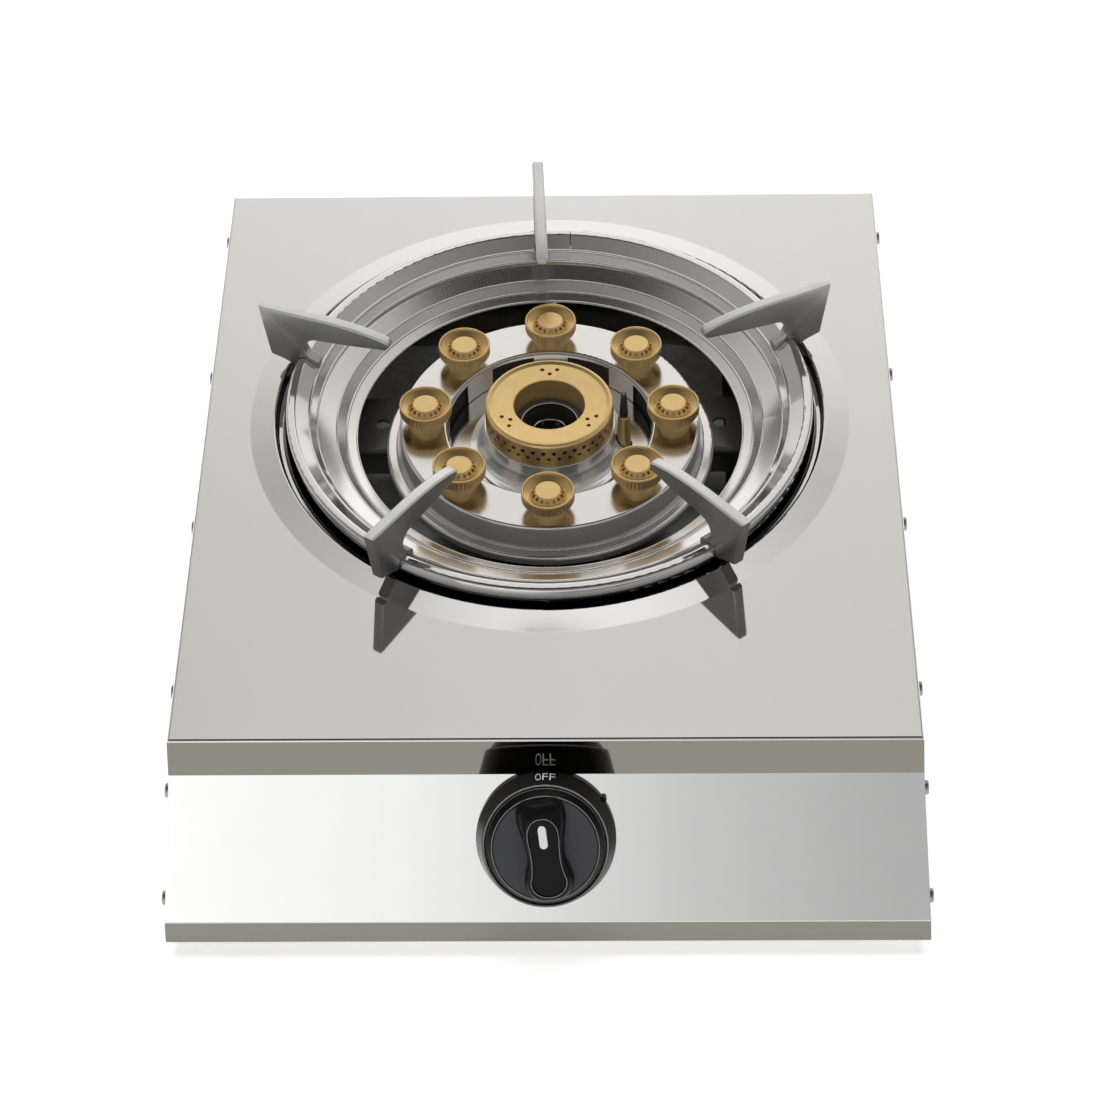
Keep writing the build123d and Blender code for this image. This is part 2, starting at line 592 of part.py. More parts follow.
with BuildPart() as foot_screws:
    with Locations(*[(x, y, screw_seat) for x, y in foot_places]):
        Cylinder(SCREW_HEAD_RADIUS, SCREW_HEAD_HEIGHT, align=(Align.CENTER, Align.CENTER, Align.MAX))
        Cylinder(
            SCREW_RADIUS,
            base_top + SCREW_HEAD_HEIGHT - screw_seat,
            align=(Align.CENTER, Align.CENTER, Align.MIN),
        )
finish(foot_screws, "foot_screws")

# Pan-head screws along both sides
with BuildPart() as side_screws:
    with Locations(*top_screw_walls, *front_screw_walls):
        Cylinder(SCREW_HEAD_RADIUS, SCREW_HEAD_HEIGHT, align=(Align.CENTER, Align.CENTER, Align.MIN))
        Cylinder(SCREW_RADIUS, SCREW_LENGTH, align=(Align.CENTER, Align.CENTER, Align.MAX))
    circles = side_screws.edges().filter_by(GeomType.CIRCLE)
    head_circles = circles.filter_by(lambda rim: abs(rim.radius - SCREW_HEAD_RADIUS) < FIT)
    head_rims = head_circles.filter_by(lambda rim: abs(rim.arc_center.X) > half_width(rim.arc_center.Z) + FIT)
    fillet(head_rims, radius=SCREW_HEAD_HEIGHT / 2)
finish(side_screws, "side_screws")

# Drip tray: stepped sheet ring whose rim lies on the dish's seat
with BuildPart() as drip_tray:
    with BuildSketch(burner_section):
        bent_sheet(
            [
                (RING_FOOT_RADIUS - TRAY_RIM_GAP, seat_z + SHEET),
                (tray_shoulder_radius, seat_z + SHEET),
                (tray_slope_radius, top_z - TRAY_SLOPE_DEPTH),
                (tray_step_radius, top_z - TRAY_STEP_DEPTH),
                (tray_hole_radius, top_z - TRAY_LEDGE_DEPTH),
            ],
            TRAY_BEND,
            SHEET,
        )
    revolve(axis=burner_axis)
finish(drip_tray, "drip_tray")

# Pan support ring: rolled strip with a rounded crest, open at its butt seam
ring_line = [
    (RING_FOOT_RADIUS, seat_z - RING_SHEET),
    (ring_crest_radius, top_z + RING_CREST_HEIGHT),
    (ring_crest_radius - RING_CREST_WIDTH, top_z + RING_CREST_HEIGHT),
    (ring_bead_radius, top_z + RING_BEAD_HEIGHT),
    (ring_inner_radius, top_z + RING_LIP_HEIGHT),
]
with BuildPart() as pan_support_ring:
    with BuildSketch(burner_section):
        bent_sheet(ring_line, RING_BEND, RING_SHEET)
    revolve(axis=burner_axis)
    split(bisect_by=Plane.XY.offset(seat_z), keep=Keep.TOP)
    seam_x = ring_crest_radius * cos(radians(RING_SEAM_ANGLE))
    with BuildSketch(Plane.XY.offset(top_z + RING_CREST_HEIGHT + RING_SHEET)):
        with Locations((seam_x, burner_y + ring_crest_radius)):
            Rectangle(RING_SEAM_GAP, RING_FOOT_RADIUS / 2)
    extrude(amount=-2 * (RING_CREST_HEIGHT + DISH_DEPTH), mode=Mode.SUBTRACT)
finish(pan_support_ring, "pan_support_ring")

# Claws: cast plates saddled on the ring, each with a hook and a tapering arm
toe_radius = ring_bead_radius + CLAW_TOE_GAP
saddle = [
    (radius + FIT, height + FIT) for radius, height in ring_line[:2]
] + [
    (radius, height + 2 * FIT) for radius, height in ring_line[2:]
]
for number in range(1, CLAW_COUNT + 1):
    angle = CLAW_ANGLE + 360 / CLAW_COUNT * (number - 1)
    radial = Vector(cos(radians(angle)), sin(radians(angle)), 0)
    claw_plane = Plane(
        origin=(0, burner_y, top_z), x_dir=radial, z_dir=(radial.Y, -radial.X, 0)
    )
    with BuildPart() as claw:
        with BuildSketch(claw_plane) as claw_outline:
            with BuildLine():
                arm = Spline(
                    (CLAW_TIP_RADIUS + CLAW_TIP_CORNER, CLAW_TOP - CLAW_TIP_DROP),
                    (CLAW_TIP_RADIUS + CLAW_ARM_OUTER, CLAW_TOP - CLAW_ARM_OUTER_DROP),
                    (CLAW_TIP_RADIUS + CLAW_ARM_MIDDLE, CLAW_TOP - CLAW_ARM_MIDDLE_DROP),
                    (claw_heel_radius, CLAW_TOP),
                )
                heel = Spline(
                    arm @ 1,
                    (claw_heel_radius - CLAW_HEEL_CURVE, CLAW_TOP - CLAW_HEEL_CURVE_DROP),
                    (claw_heel_radius - CLAW_HEEL_LEAN, CLAW_TOP - CLAW_HEEL_DROP),
                )
                foot = Polyline(
                    heel @ 1,
                    (RING_FOOT_RADIUS + CLAW_SHOE_OUT, CLAW_TOP - CLAW_SHOE_DROP),
                    (RING_FOOT_RADIUS - CLAW_SHOE_IN, CLAW_TOP - CLAW_FOOT_DROP),
                    (toe_radius, CLAW_TOP - CLAW_FOOT_DROP),
                    (toe_radius, CLAW_TOP - CLAW_TOE_DROP),
                    (toe_radius + CLAW_TOE_WIDTH, CLAW_TOP - CLAW_TOE_DROP + CLAW_TOE_RISE),
                )
                hook = ThreePointArc(
                    foot @ 1,
                    (ring_bead_radius + CLAW_HOOK_DEPTH, CLAW_TOP - CLAW_HOOK_DROP),
                    (ring_bead_radius + CLAW_HOOK_REACH, CLAW_TOP - CLAW_UNDER_HOOK_DROP),
                )
                Polyline(
                    hook @ 1,
                    (CLAW_TIP_RADIUS + CLAW_UNDER_ARM, CLAW_TOP - CLAW_UNDER_ARM_DROP),
                    (CLAW_TIP_RADIUS + CLAW_UNDER_TIP, CLAW_TOP - CLAW_UNDER_TIP_DROP),
                    (CLAW_TIP_RADIUS, CLAW_TOP - CLAW_TIP_DROP - CLAW_TIP_FACE),
                    arm @ 0,
                )
            make_face()
            Polygon(
                *[(radius, height - top_z) for radius, height in saddle],
                (ring_inner_radius, -CLAW_TOP),
                (RING_FOOT_RADIUS + FIT, -CLAW_TOP),
                align=None,
                mode=Mode.SUBTRACT,
            )
        extrude(amount=CLAW_THICKNESS / 2, both=True)
        rims = claw.faces().filter_by(Axis(claw_plane.origin, claw_plane.z_dir)).edges()
        upper_rims = rims.filter_by(lambda edge: edge.center().Z > top_z + RING_CREST_HEIGHT + CLAW_ROUND_FROM)
        chamfer(upper_rims, length=CLAW_ROUND)
    finish(claw, f"claw_{number}")

# Burner cover: pressed steel ring that the nozzles stand on
nozzle_angles = [90 + 360 / NOZZLE_COUNT * number for number in range(NOZZLE_COUNT)]
nozzle_places = [
    (nozzle_circle_radius * cos(radians(angle)), burner_y + nozzle_circle_radius * sin(radians(angle)))
    for angle in nozzle_angles
]
with BuildPart() as burner_cover:
    with BuildSketch(burner_section):
        bent_sheet(
            [
                (cover_flange_radius, top_z - COVER_FOOT_DEPTH),
                (cover_flange_radius, top_z - COVER_FLANGE_DEPTH),
                (cover_waist_radius, top_z - COVER_FLANGE_DEPTH),
                (COVER_TOP_RADIUS, cover_z),
                (COVER_HOLE_RADIUS, cover_z),
                (COVER_HOLE_RADIUS, well_z),
            ],
            (COVER_BEND, COVER_WAIST_BEND, COVER_BEND, COVER_BEND),
            COVER_SHEET,
        )
    revolve(axis=burner_axis)
    with BuildSketch(Plane.XY.offset(cover_z)):
        with Locations(*nozzle_places):
            Circle(NOZZLE_STEM_RADIUS + FIT)
    extrude(amount=-2 * COVER_SHEET, mode=Mode.SUBTRACT)
    with BuildSketch(burner_level(cover_z - COVER_WINDOW_DROP)):
        wedges(
            NOZZLE_COUNT,
            COVER_WINDOW_ARC,
            COVER_HOLE_RADIUS + 2 * COVER_SHEET,
            nozzle_angles[0] + 180 / NOZZLE_COUNT,
        )
    extrude(amount=well_z - cover_z, mode=Mode.SUBTRACT)
finish(burner_cover, "burner_cover")

# Well plate between the cover and the post, and the post round the inner chamber
igniter_place = (igniter_radius, burner_y)
with BuildPart() as burner_well:
    with BuildSketch(burner_level(well_z)):
        Circle(COVER_HOLE_RADIUS - SEAT_GAP)
        Circle(inner_chamber_radius + SEAT_GAP, mode=Mode.SUBTRACT)
        with Locations((igniter_radius, 0)):
            Circle(IGNITER_HOLE_RADIUS, mode=Mode.SUBTRACT)
    extrude(amount=-WELL_SHEET)
finish(burner_well, "burner_well")

with BuildPart() as burner_post:
    with BuildSketch(burner_section):
        bent_sheet(
            [
                (post_foot_radius, well_z + POST_WALL),
                (post_radius + POST_FLARE, well_z + POST_WALL + POST_FOOT_RISE),
                (post_radius, well_z + POST_FLARE_HEIGHT),
                (post_radius, cap_low - SEAT_GAP),
            ],
            (POST_FOOT_BEND, POST_FLARE_BEND),
            POST_WALL,
        )
    revolve(axis=burner_axis)
    with BuildSketch(burner_level(well_z)):
        with Locations((igniter_radius, 0)):
            Circle(IGNITER_HOLE_RADIUS)
    extrude(amount=post_foot_radius - post_radius + POST_WALL, mode=Mode.SUBTRACT)
finish(burner_post, "burner_post")

# Burner body: cast outer and inner chambers on ribs, each fed by its own mixing tube
chamber_middle = (chamber_inner_radius + chamber_outer_radius) / 2
outer_neck_y = burner_y - sqrt(chamber_middle**2 - tube_x**2)
inner_chamber_bore = inner_chamber_radius - CHAMBER_WALL
inner_neck_radius = (air_tube_outer + inner_chamber_bore) / 2
inner_neck_y = burner_y - sqrt(inner_neck_radius**2 - tube_x**2)
burner_screw_places = [
    (side * BURNER_SCREW_OFFSET, burner_y + sqrt(chamber_middle**2 - BURNER_SCREW_OFFSET**2))
    for side in (-1, 1)
]
mixers = [
    (tube_x, outer_neck_y, OUTER_NECK_RADIUS, OUTER_NECK_BORE),
    (-tube_x, inner_neck_y, INNER_NECK_RADIUS, INNER_NECK_BORE),
]


def tube_plane(x, y):
    """Upright plane across a mixing tube, centred on it and facing the back."""
    return Plane(origin=(x, y, valve_z), x_dir=(-1, 0, 0), z_dir=(0, 1, 0))


def air_windows():
    """Wedges that cut the air windows of a tube's mouth or of its shutter."""
    wedges(WINDOW_COUNT, WINDOW_ARC, 2 * tube_mouth_radius, 90)


with BuildPart() as burner_body:
    with BuildSketch(burner_section):
        with Locations((chamber_inner_radius, crossbar_z)):
            Rectangle(
                chamber_outer_radius - chamber_inner_radius,
                chamber_top - crossbar_z,
                align=(Align.MIN, Align.MIN),
            )
        with Locations((air_tube_radius, crossbar_z)):
            Rectangle(
                inner_chamber_radius - air_tube_radius,
                cap_low - crossbar_z,
                align=(Align.MIN, Align.MIN),
            )
        with Locations((air_tube_radius - AIR_STEP, crossbar_z)):
            Rectangle(AIR_STEP, CHAMBER_WALL, align=(Align.MIN, Align.MIN))
    revolve(axis=burner_axis)
    rib_middle = (inner_chamber_radius + chamber_inner_radius) / 2
    with BuildSketch(burner_level(crossbar_z)):
        with PolarLocations(rib_middle, RIB_COUNT):
            Rectangle(chamber_inner_radius - inner_chamber_radius + CHAMBER_WALL, RIB_WIDTH)
    extrude(amount=well_z - WELL_SHEET - crossbar_z)
    for x, neck_y, neck_radius, neck_bore in mixers:
        with BuildSketch(tube_plane(x, mouth_y)):
            Circle(TUBE_RADIUS)
        extrude(amount=neck_y + neck_radius + TUBE_END - mouth_y)
        with BuildSketch(tube_plane(x, mouth_y)):
            Circle(tube_mouth_radius)
        extrude(amount=TUBE_MOUTH_LENGTH)
        with BuildSketch(Plane.XY.offset(valve_z).move(Location((x, neck_y, 0)))):
            Circle(neck_radius)
        extrude(amount=crossbar_z + CHAMBER_WALL - valve_z)
    with BuildSketch(burner_section):
        with Locations((chamber_inner_radius + CHAMBER_WALL, crossbar_z + CHAMBER_WALL)):
            Rectangle(
                chamber_outer_radius - chamber_inner_radius - 2 * CHAMBER_WALL,
                chamber_top - crossbar_z - 2 * CHAMBER_WALL,
                align=(Align.MIN, Align.MIN),
            )
        with Locations((air_tube_outer, crossbar_z + CHAMBER_WALL)):
            Rectangle(
                inner_chamber_bore - air_tube_outer, cap_low - crossbar_z, align=(Align.MIN, Align.MIN)
            )
    revolve(axis=burner_axis, mode=Mode.SUBTRACT)
    for x, neck_y, neck_radius, neck_bore in mixers:
        with BuildSketch(tube_plane(x, mouth_y)):
            Circle(TUBE_RADIUS - CHAMBER_WALL)
        extrude(amount=neck_y + neck_bore + TUBE_END / 2 - mouth_y, mode=Mode.SUBTRACT)
        with BuildSketch(tube_plane(x, mouth_y)):
            Circle(tube_mouth_radius - TUBE_MOUTH_WALL)
        extrude(amount=TUBE_MOUTH_LENGTH - CHAMBER_WALL, mode=Mode.SUBTRACT)
        with BuildSketch(tube_plane(x, mouth_y + (SHUTTER_LENGTH - WINDOW_LENGTH) / 2)):
            air_windows()
        extrude(amount=WINDOW_LENGTH, mode=Mode.SUBTRACT)
        with BuildSketch(Plane.XY.offset(valve_z).move(Location((x, neck_y, 0)))):
            Circle(neck_bore)
        extrude(amount=crossbar_z + 2 * CHAMBER_WALL - valve_z, mode=Mode.SUBTRACT)
    with BuildSketch(Plane.XY.offset(chamber_top)):
        with Locations(*nozzle_places):
            Circle(NOZZLE_STEM_RADIUS + FIT)
    extrude(amount=-2 * CHAMBER_WALL, mode=Mode.SUBTRACT)
    with BuildSketch(Plane.XY.offset(crossbar_z)):
        with Locations(*burner_screw_places):
            Circle(BURNER_SCREW_RADIUS + FIT)
        with Locations(igniter_place):
            Circle(INSULATOR_RADIUS + FIT)
    extrude(amount=well_z - crossbar_z, mode=Mode.SUBTRACT)
finish(burner_body, "burner_body")

# Brass flame nozzles: knurled rim, recessed top with a boss, and a stem through the cover
nozzle_top = top_z + NOZZLE_TOP_HEIGHT
rim_low = nozzle_top - NOZZLE_RIM_HEIGHT
rim_knurl_top = nozzle_top - KNURL_TOP
rim_core = NOZZLE_RIM_RADIUS - KNURL_DEPTH - KNURL_ROOT
recess_z = nozzle_top - NOZZLE_RECESS_DEPTH
boss_top = nozzle_top - NOZZLE_BOSS_DROP
boss_lean = Vector(boss_top - recess_z, NOZZLE_BOSS_FOOT - NOZZLE_BOSS_RADIUS).normalized()
port_circle = (NOZZLE_BOSS_RADIUS + NOZZLE_BOSS_FOOT) / 2
port_z = (boss_top + recess_z) / 2
port_angles = [360 / NOZZLE_PORTS * number for number in range(NOZZLE_PORTS)]
port_planes = [
    Plane(
        origin=(port_circle * cos(radians(angle)), port_circle * sin(radians(angle)), port_z),
        z_dir=(boss_lean.X * cos(radians(angle)), boss_lean.X * sin(radians(angle)), boss_lean.Y),
    )
    for angle in port_angles
]
collar_z = rim_low - NOZZLE_UNDERCUT
knurl_points = [
    (
        (NOZZLE_RIM_RADIUS - KNURL_DEPTH * (step % 2)) * cos(pi * step / KNURL_TEETH),
        (NOZZLE_RIM_RADIUS - KNURL_DEPTH * (step % 2)) * sin(pi * step / KNURL_TEETH),
    )
    for step in range(2 * KNURL_TEETH)
]
with BuildPart() as nozzle:
    with BuildSketch(Plane.XZ):
        Polygon(
            (0, cover_z - NOZZLE_STEM_LENGTH),
            (NOZZLE_STEM_RADIUS, cover_z - NOZZLE_STEM_LENGTH),
            (NOZZLE_STEM_RADIUS, cover_z),
            (NOZZLE_NECK_RADIUS, cover_z),
            (NOZZLE_NECK_RADIUS, collar_z - NOZZLE_COLLAR_HEIGHT),
            (NOZZLE_NECK_RADIUS + NOZZLE_COLLAR, collar_z - NOZZLE_COLLAR_HEIGHT / 2),
            (NOZZLE_NECK_RADIUS + NOZZLE_COLLAR, collar_z),
            (rim_core, rim_low),
            (rim_core, rim_knurl_top),
            (NOZZLE_RIM_RADIUS, rim_knurl_top),
            (NOZZLE_RIM_RADIUS, nozzle_top - NOZZLE_EDGE),
            (NOZZLE_RIM_RADIUS - NOZZLE_EDGE, nozzle_top),
            (NOZZLE_RIM_RADIUS - 2 * NOZZLE_EDGE, nozzle_top),
            (NOZZLE_RIM_RADIUS - 3 * NOZZLE_EDGE, nozzle_top - NOZZLE_RIM_DROP),
            (NOZZLE_BOSS_FOOT, recess_z),
            (NOZZLE_BOSS_RADIUS, boss_top),
            (0, boss_top),
            align=None,
        )
    revolve(axis=Axis.Z)
    with BuildSketch(Plane.XY.offset(rim_low + KNURL_FOOT)):
        Polygon(*knurl_points, align=None)
        Circle(rim_core - NOZZLE_EDGE, mode=Mode.SUBTRACT)
    extrude(amount=rim_knurl_top - rim_low - KNURL_FOOT)
    with Locations(*port_planes):
        Hole(radius=NOZZLE_PORT_RADIUS, depth=NOZZLE_PORT_DEPTH)

for number, (x, y) in enumerate(nozzle_places, start=1):
    with BuildPart() as placed_nozzle:
        with Locations((x, y, 0)):
            add(nozzle.part)
    finish(placed_nozzle, f"flame_nozzle_{number}")

# Brass centre cap: dished ring with flame holes round its wall and in its top
cap_top = top_z + CAP_TOP_HEIGHT
cap_port_step = 360 / CAP_PORTS
with BuildPart() as burner_cap:
    with BuildSketch(burner_section):
        Polygon(
            (CAP_HOLE_RADIUS, cap_low - CAP_SPIGOT),
            (CAP_HOLE_RADIUS + CAP_WALL, cap_low - CAP_SPIGOT),
            (CAP_HOLE_RADIUS + CAP_WALL, cap_top - CAP_DISH - CAP_WALL),
            (CAP_RADIUS - CAP_WALL, cap_top - CAP_CHAMFER - CAP_WALL),
            (CAP_RADIUS - CAP_WALL, cap_low),
            (CAP_RADIUS, cap_low),
            (CAP_RADIUS, cap_top - CAP_CHAMFER),
            (CAP_RADIUS - CAP_CHAMFER / 2, cap_top - CAP_EDGE),
            (CAP_RADIUS - 1.5 * CAP_CHAMFER, cap_top),
            (CAP_RADIUS - 3 * CAP_CHAMFER, cap_top - CAP_DISH / 2),
            (CAP_HOLE_RADIUS + CAP_EDGE, cap_top - CAP_DISH),
            (CAP_HOLE_RADIUS, cap_top - CAP_DISH - CAP_EDGE),
            align=None,
        )
    revolve(axis=burner_axis)
    for row, (depth, port_radius) in enumerate(CAP_ROWS):
        row_angles = [cap_port_step * (number + row / 2) for number in range(CAP_PORTS)]
        port_walls = [
            Plane(
                origin=(
                    CAP_RADIUS * cos(radians(angle)),
                    burner_y + CAP_RADIUS * sin(radians(angle)),
                    cap_top - depth,
                ),
                z_dir=(cos(radians(angle)), sin(radians(angle)), 0),
            )
            for angle in row_angles
        ]
        with Locations(*port_walls):
            Hole(radius=port_radius, depth=1.5 * CAP_WALL)
    with BuildSketch(burner_level(cap_top)):
        with PolarLocations(CAP_HOLE_RADIUS + CLUSTER_MARGIN, CAP_CLUSTERS, start_angle=90):
            with Locations((0, 0), (CLUSTER_REACH, -CLUSTER_SPREAD), (CLUSTER_REACH, CLUSTER_SPREAD)):
                Circle(CLUSTER_HOLE_RADIUS)
    extrude(amount=-2 * CAP_WALL - CAP_DISH, mode=Mode.SUBTRACT)
finish(burner_cap, "burner_cap")

# Igniter: dark electrode in a brass sleeve, standing in a ceramic insulator
igniter_plane = across(burner_y).move(Location((igniter_radius, 0, 0)))
igniter_axis = Axis((igniter_radius, burner_y, 0), (0, 0, 1))
sleeve_top = top_z - IGNITER_SLEEVE_DEPTH
insulator_top = well_z - WELL_SHEET
with BuildPart() as igniter_electrode:
    with BuildSketch(igniter_plane):
        Polygon(
            (0, igniter_rod_low),
            (IGNITER_ROD_RADIUS, igniter_rod_low),
            (IGNITER_ROD_RADIUS, sleeve_top),
            (IGNITER_ROOT_RADIUS, sleeve_top),
            (IGNITER_TIP_RADIUS, top_z + IGNITER_TIP_HEIGHT),
            (0, top_z + IGNITER_TIP_HEIGHT),
            align=None,
        )
    revolve(axis=igniter_axis)
    with Locations((igniter_radius, burner_y, top_z + IGNITER_TIP_HEIGHT)):
        Box(IGNITER_TIP_RADIUS / 2, 2 * IGNITER_ROOT_RADIUS, 3 * IGNITER_TIP_RADIUS, mode=Mode.SUBTRACT)
finish(igniter_electrode, "igniter_electrode")

with BuildPart() as igniter_sleeve:
    with BuildSketch(igniter_plane):
        Polygon(
            (IGNITER_ROD_RADIUS + FIT, insulator_top),
            (IGNITER_SLEEVE_FOOT, insulator_top),
            (IGNITER_SLEEVE_RADIUS, sleeve_top - IGNITER_SLEEVE_EDGE),
            (IGNITER_SLEEVE_RADIUS - IGNITER_SLEEVE_EDGE, sleeve_top),
            (IGNITER_ROD_RADIUS + FIT, sleeve_top),
            align=None,
        )
    revolve(axis=igniter_axis)
finish(igniter_sleeve, "igniter_sleeve")

with BuildPart() as igniter_insulator:
    with BuildSketch(Plane.XY.offset(igniter_rod_low)):
        with Locations(igniter_place):
            Circle(INSULATOR_RADIUS)
            Circle(IGNITER_ROD_RADIUS + FIT, mode=Mode.SUBTRACT)
    extrude(amount=insulator_top - igniter_rod_low)
finish(igniter_insulator, "igniter_insulator")

# Crossbar: channel on two legs that carries the burner body
crossbar_half = CROSSBAR_SPAN / 2
crossbar_rear = crossbar_front + CROSSBAR_WIDTH
crossbar_hole_y = (crossbar_front + crossbar_rear) / 2
with BuildPart() as burner_crossbar:
    with BuildSketch(Plane.YZ):
        bent_sheet(
            [
                (crossbar_rear, crossbar_z - CROSSBAR_FLANGE),
                (crossbar_rear, crossbar_z),
                (crossbar_front, crossbar_z),
                (crossbar_front, crossbar_z - CROSSBAR_FLANGE),
            ],
            2 * CROSSBAR_SHEET,
            CROSSBAR_SHEET,
        )
    extrude(amount=crossbar_half, both=True)
    for side in (-1, 1):
        with Locations((side * crossbar_half, crossbar_hole_y, base_top)):
            Box(
                CROSSBAR_SHEET,
                CROSSBAR_WIDTH - 2 * CROSSBAR_SHEET,
                crossbar_z - base_top,
                align=(Align.MAX if side > 0 else Align.MIN, Align.CENTER, Align.MIN),
            )
            Box(
                CROSSBAR_FOOT,
                CROSSBAR_WIDTH - 2 * CROSSBAR_SHEET,
                CROSSBAR_SHEET,
                align=(Align.MIN if side > 0 else Align.MAX, Align.CENTER, Align.MIN),
            )
    with BuildSketch(Plane.XY.offset(crossbar_z)):
        with Locations((0, crossbar_hole_y)):
            with GridLocations(CROSSBAR_HOLE_SPACING, 1, 2, 1):
                Circle(CROSSBAR_HOLE_RADIUS)
        with Locations(*burner_screw_places):
            Circle(BURNER_SCREW_RADIUS + FIT)
    extrude(amount=-2 * CROSSBAR_SHEET, mode=Mode.SUBTRACT)
finish(burner_crossbar, "burner_crossbar")

with BuildPart() as burner_screws:
    with Locations(*[(x, y, crossbar_z - CROSSBAR_SHEET) for x, y in burner_screw_places]):
        Cylinder(2 * BURNER_SCREW_RADIUS, BURNER_SCREW_RADIUS, align=(Align.CENTER, Align.CENTER, Align.MAX))
        Cylinder(
            BURNER_SCREW_RADIUS, CROSSBAR_SHEET + CHAMBER_WALL, align=(Align.CENTER, Align.CENTER, Align.MIN)
        )
finish(burner_screws, "burner_screws")

# Heat shield: low table on two folded sides over the base plate
shield_z = valve_z - TUBE_RADIUS - SHIELD_GAP
with BuildPart() as heat_shield:
    with BuildSketch(Plane.XY.offset(shield_z)):
        with Locations(((SHIELD_RIGHT - SHIELD_LEFT) / 2, burner_y + (SHIELD_REAR - SHIELD_FRONT) / 2)):
            RectangleRounded(SHIELD_LEFT + SHIELD_RIGHT, SHIELD_FRONT + SHIELD_REAR, SHIELD_CORNER)
    extrude(amount=-SHEET)
    side_length = SHIELD_FRONT + SHIELD_REAR - 2 * SHIELD_CORNER
    for x, align in ((-SHIELD_LEFT, Align.MIN), (SHIELD_RIGHT, Align.MAX)):
        with Locations((x, burner_y + (SHIELD_REAR - SHIELD_FRONT) / 2, base_top)):
            Box(SHEET, side_length, shield_z - base_top, align=(align, Align.CENTER, Align.MIN))
finish(heat_shield, "heat_shield")

# Air shutters: windowed sleeves that turn on the mouths of the mixing tubes
for x, name in ((tube_x, "outer_air_shutter"), (-tube_x, "inner_air_shutter")):
    with BuildPart() as air_shutter:
        with BuildSketch(tube_plane(x, mouth_y)):
            Circle(shutter_radius)
            Circle(shutter_bore, mode=Mode.SUBTRACT)
        extrude(amount=SHUTTER_LENGTH)
        with BuildSketch(tube_plane(x, mouth_y + (SHUTTER_LENGTH - WINDOW_LENGTH) / 2)):
            air_windows()
        extrude(amount=WINDOW_LENGTH, mode=Mode.SUBTRACT)
    finish(air_shutter, name)

# Stand that carries both mixing tubes on the base plate
stand_y = mouth_y + TUBE_STAND_SETBACK
lead_z = knob_z - (valve_front + PIEZO_SIZE / 2) * sin(tilt) + (VALVE_HEIGHT + PIEZO_SIZE) / 2 * cos(tilt)
stand_top = lead_z - LEAD_RADIUS - FIT
stand_half = max(igniter_radius, tube_x + TUBE_RADIUS) + 2 * LEAD_RADIUS
with BuildPart() as mixing_tube_stand:
    with BuildSketch(across(stand_y)):
        with Locations((0, base_top)):
            Rectangle(2 * stand_half, stand_top - base_top, align=(Align.CENTER, Align.MIN))
        with Locations((0, valve_z)):
            with GridLocations(2 * tube_x, 1, 2, 1):
                Circle(TUBE_RADIUS + FIT, mode=Mode.SUBTRACT)
    extrude(amount=TUBE_STAND_THICKNESS)
    with Locations((0, stand_y, base_top)):
        Box(2 * stand_half, FLOOR_FLANGE, TUBE_STAND_THICKNESS, align=(Align.CENTER, Align.MIN, Align.MIN))
finish(mixing_tube_stand, "mixing_tube_stand")

# Valve bracket: channel behind the front panel, square to the knob's axis
bracket_half = BRACKET_WIDTH / 2
panel_inside = -SHEET - FIT
with BuildPart() as valve_bracket:
    with BuildSketch(knob_section):
        bent_sheet(
            [
                (bracket_half + BRACKET_TAB, panel_inside),
                (bracket_half, panel_inside),
                (bracket_half, -BRACKET_DEPTH),
                (-bracket_half, -BRACKET_DEPTH),
                (-bracket_half, panel_inside),
                (-bracket_half - BRACKET_TAB, panel_inside),
            ],
            1.5 * BRACKET_SHEET,
            BRACKET_SHEET,
        )
    extrude(amount=BRACKET_HEIGHT / 2, both=True)
    with BuildSketch(knob_plane):
        Circle(SPINDLE_RADIUS + SEAT_GAP)
    extrude(amount=-2 * BRACKET_DEPTH, mode=Mode.SUBTRACT)
finish(valve_bracket, "valve_bracket")

# Gas valve: block on the knob's axis with a manifold for the jets and a boss for the pipe
with BuildPart() as gas_valve:
    with BuildSketch(knob_plane.offset(-valve_front)):
        Rectangle(VALVE_WIDTH, VALVE_HEIGHT)
    extrude(amount=-VALVE_LENGTH)
    with Locations((0, jet_y, valve_z)):
        Box(MANIFOLD_WIDTH, MANIFOLD_DEPTH, MANIFOLD_HEIGHT, align=(Align.CENTER, Align.MAX, Align.CENTER))
    with BuildSketch(Plane.YZ.offset(-VALVE_WIDTH / 2 - INLET_BOSS_LENGTH)):
        with Locations((valve_y, valve_z)):
            Circle(INLET_BOSS_RADIUS)
    extrude(amount=INLET_BOSS_LENGTH)
    with BuildSketch(Plane.YZ.offset(-VALVE_WIDTH / 2 - INLET_BOSS_LENGTH)):
        with Locations((valve_y, valve_z)):
            Circle(PIPE_RADIUS + FIT)
    extrude(amount=PIPE_SOCKET, mode=Mode.SUBTRACT)
    with BuildSketch(knob_plane.offset(-valve_front)):
        Circle(SPINDLE_RADIUS + SPINDLE_PLAY)
    extrude(amount=-VALVE_LENGTH + CHAMBER_WALL, mode=Mode.SUBTRACT)
finish(gas_valve, "gas_valve")

# Brass jets on the manifold, aimed into the mixing tubes
for x, name in ((tube_x, "outer_jet"), (-tube_x, "inner_jet")):
    with BuildPart() as jet:
        with BuildSketch(tube_plane(x, jet_y)):
            hexagon(JET_FLATS)
        extrude(amount=JET_HEX_LENGTH)
        with BuildSketch(tube_plane(x, jet_y + JET_HEX_LENGTH)):
            Circle(JET_NOSE_RADIUS)
        extrude(amount=JET_LENGTH - JET_HEX_LENGTH, taper=JET_TAPER)
        with BuildSketch(tube_plane(x, jet_y)):
            Circle(JET_ORIFICE)
        extrude(amount=JET_LENGTH, mode=Mode.SUBTRACT)
    finish(jet, name)

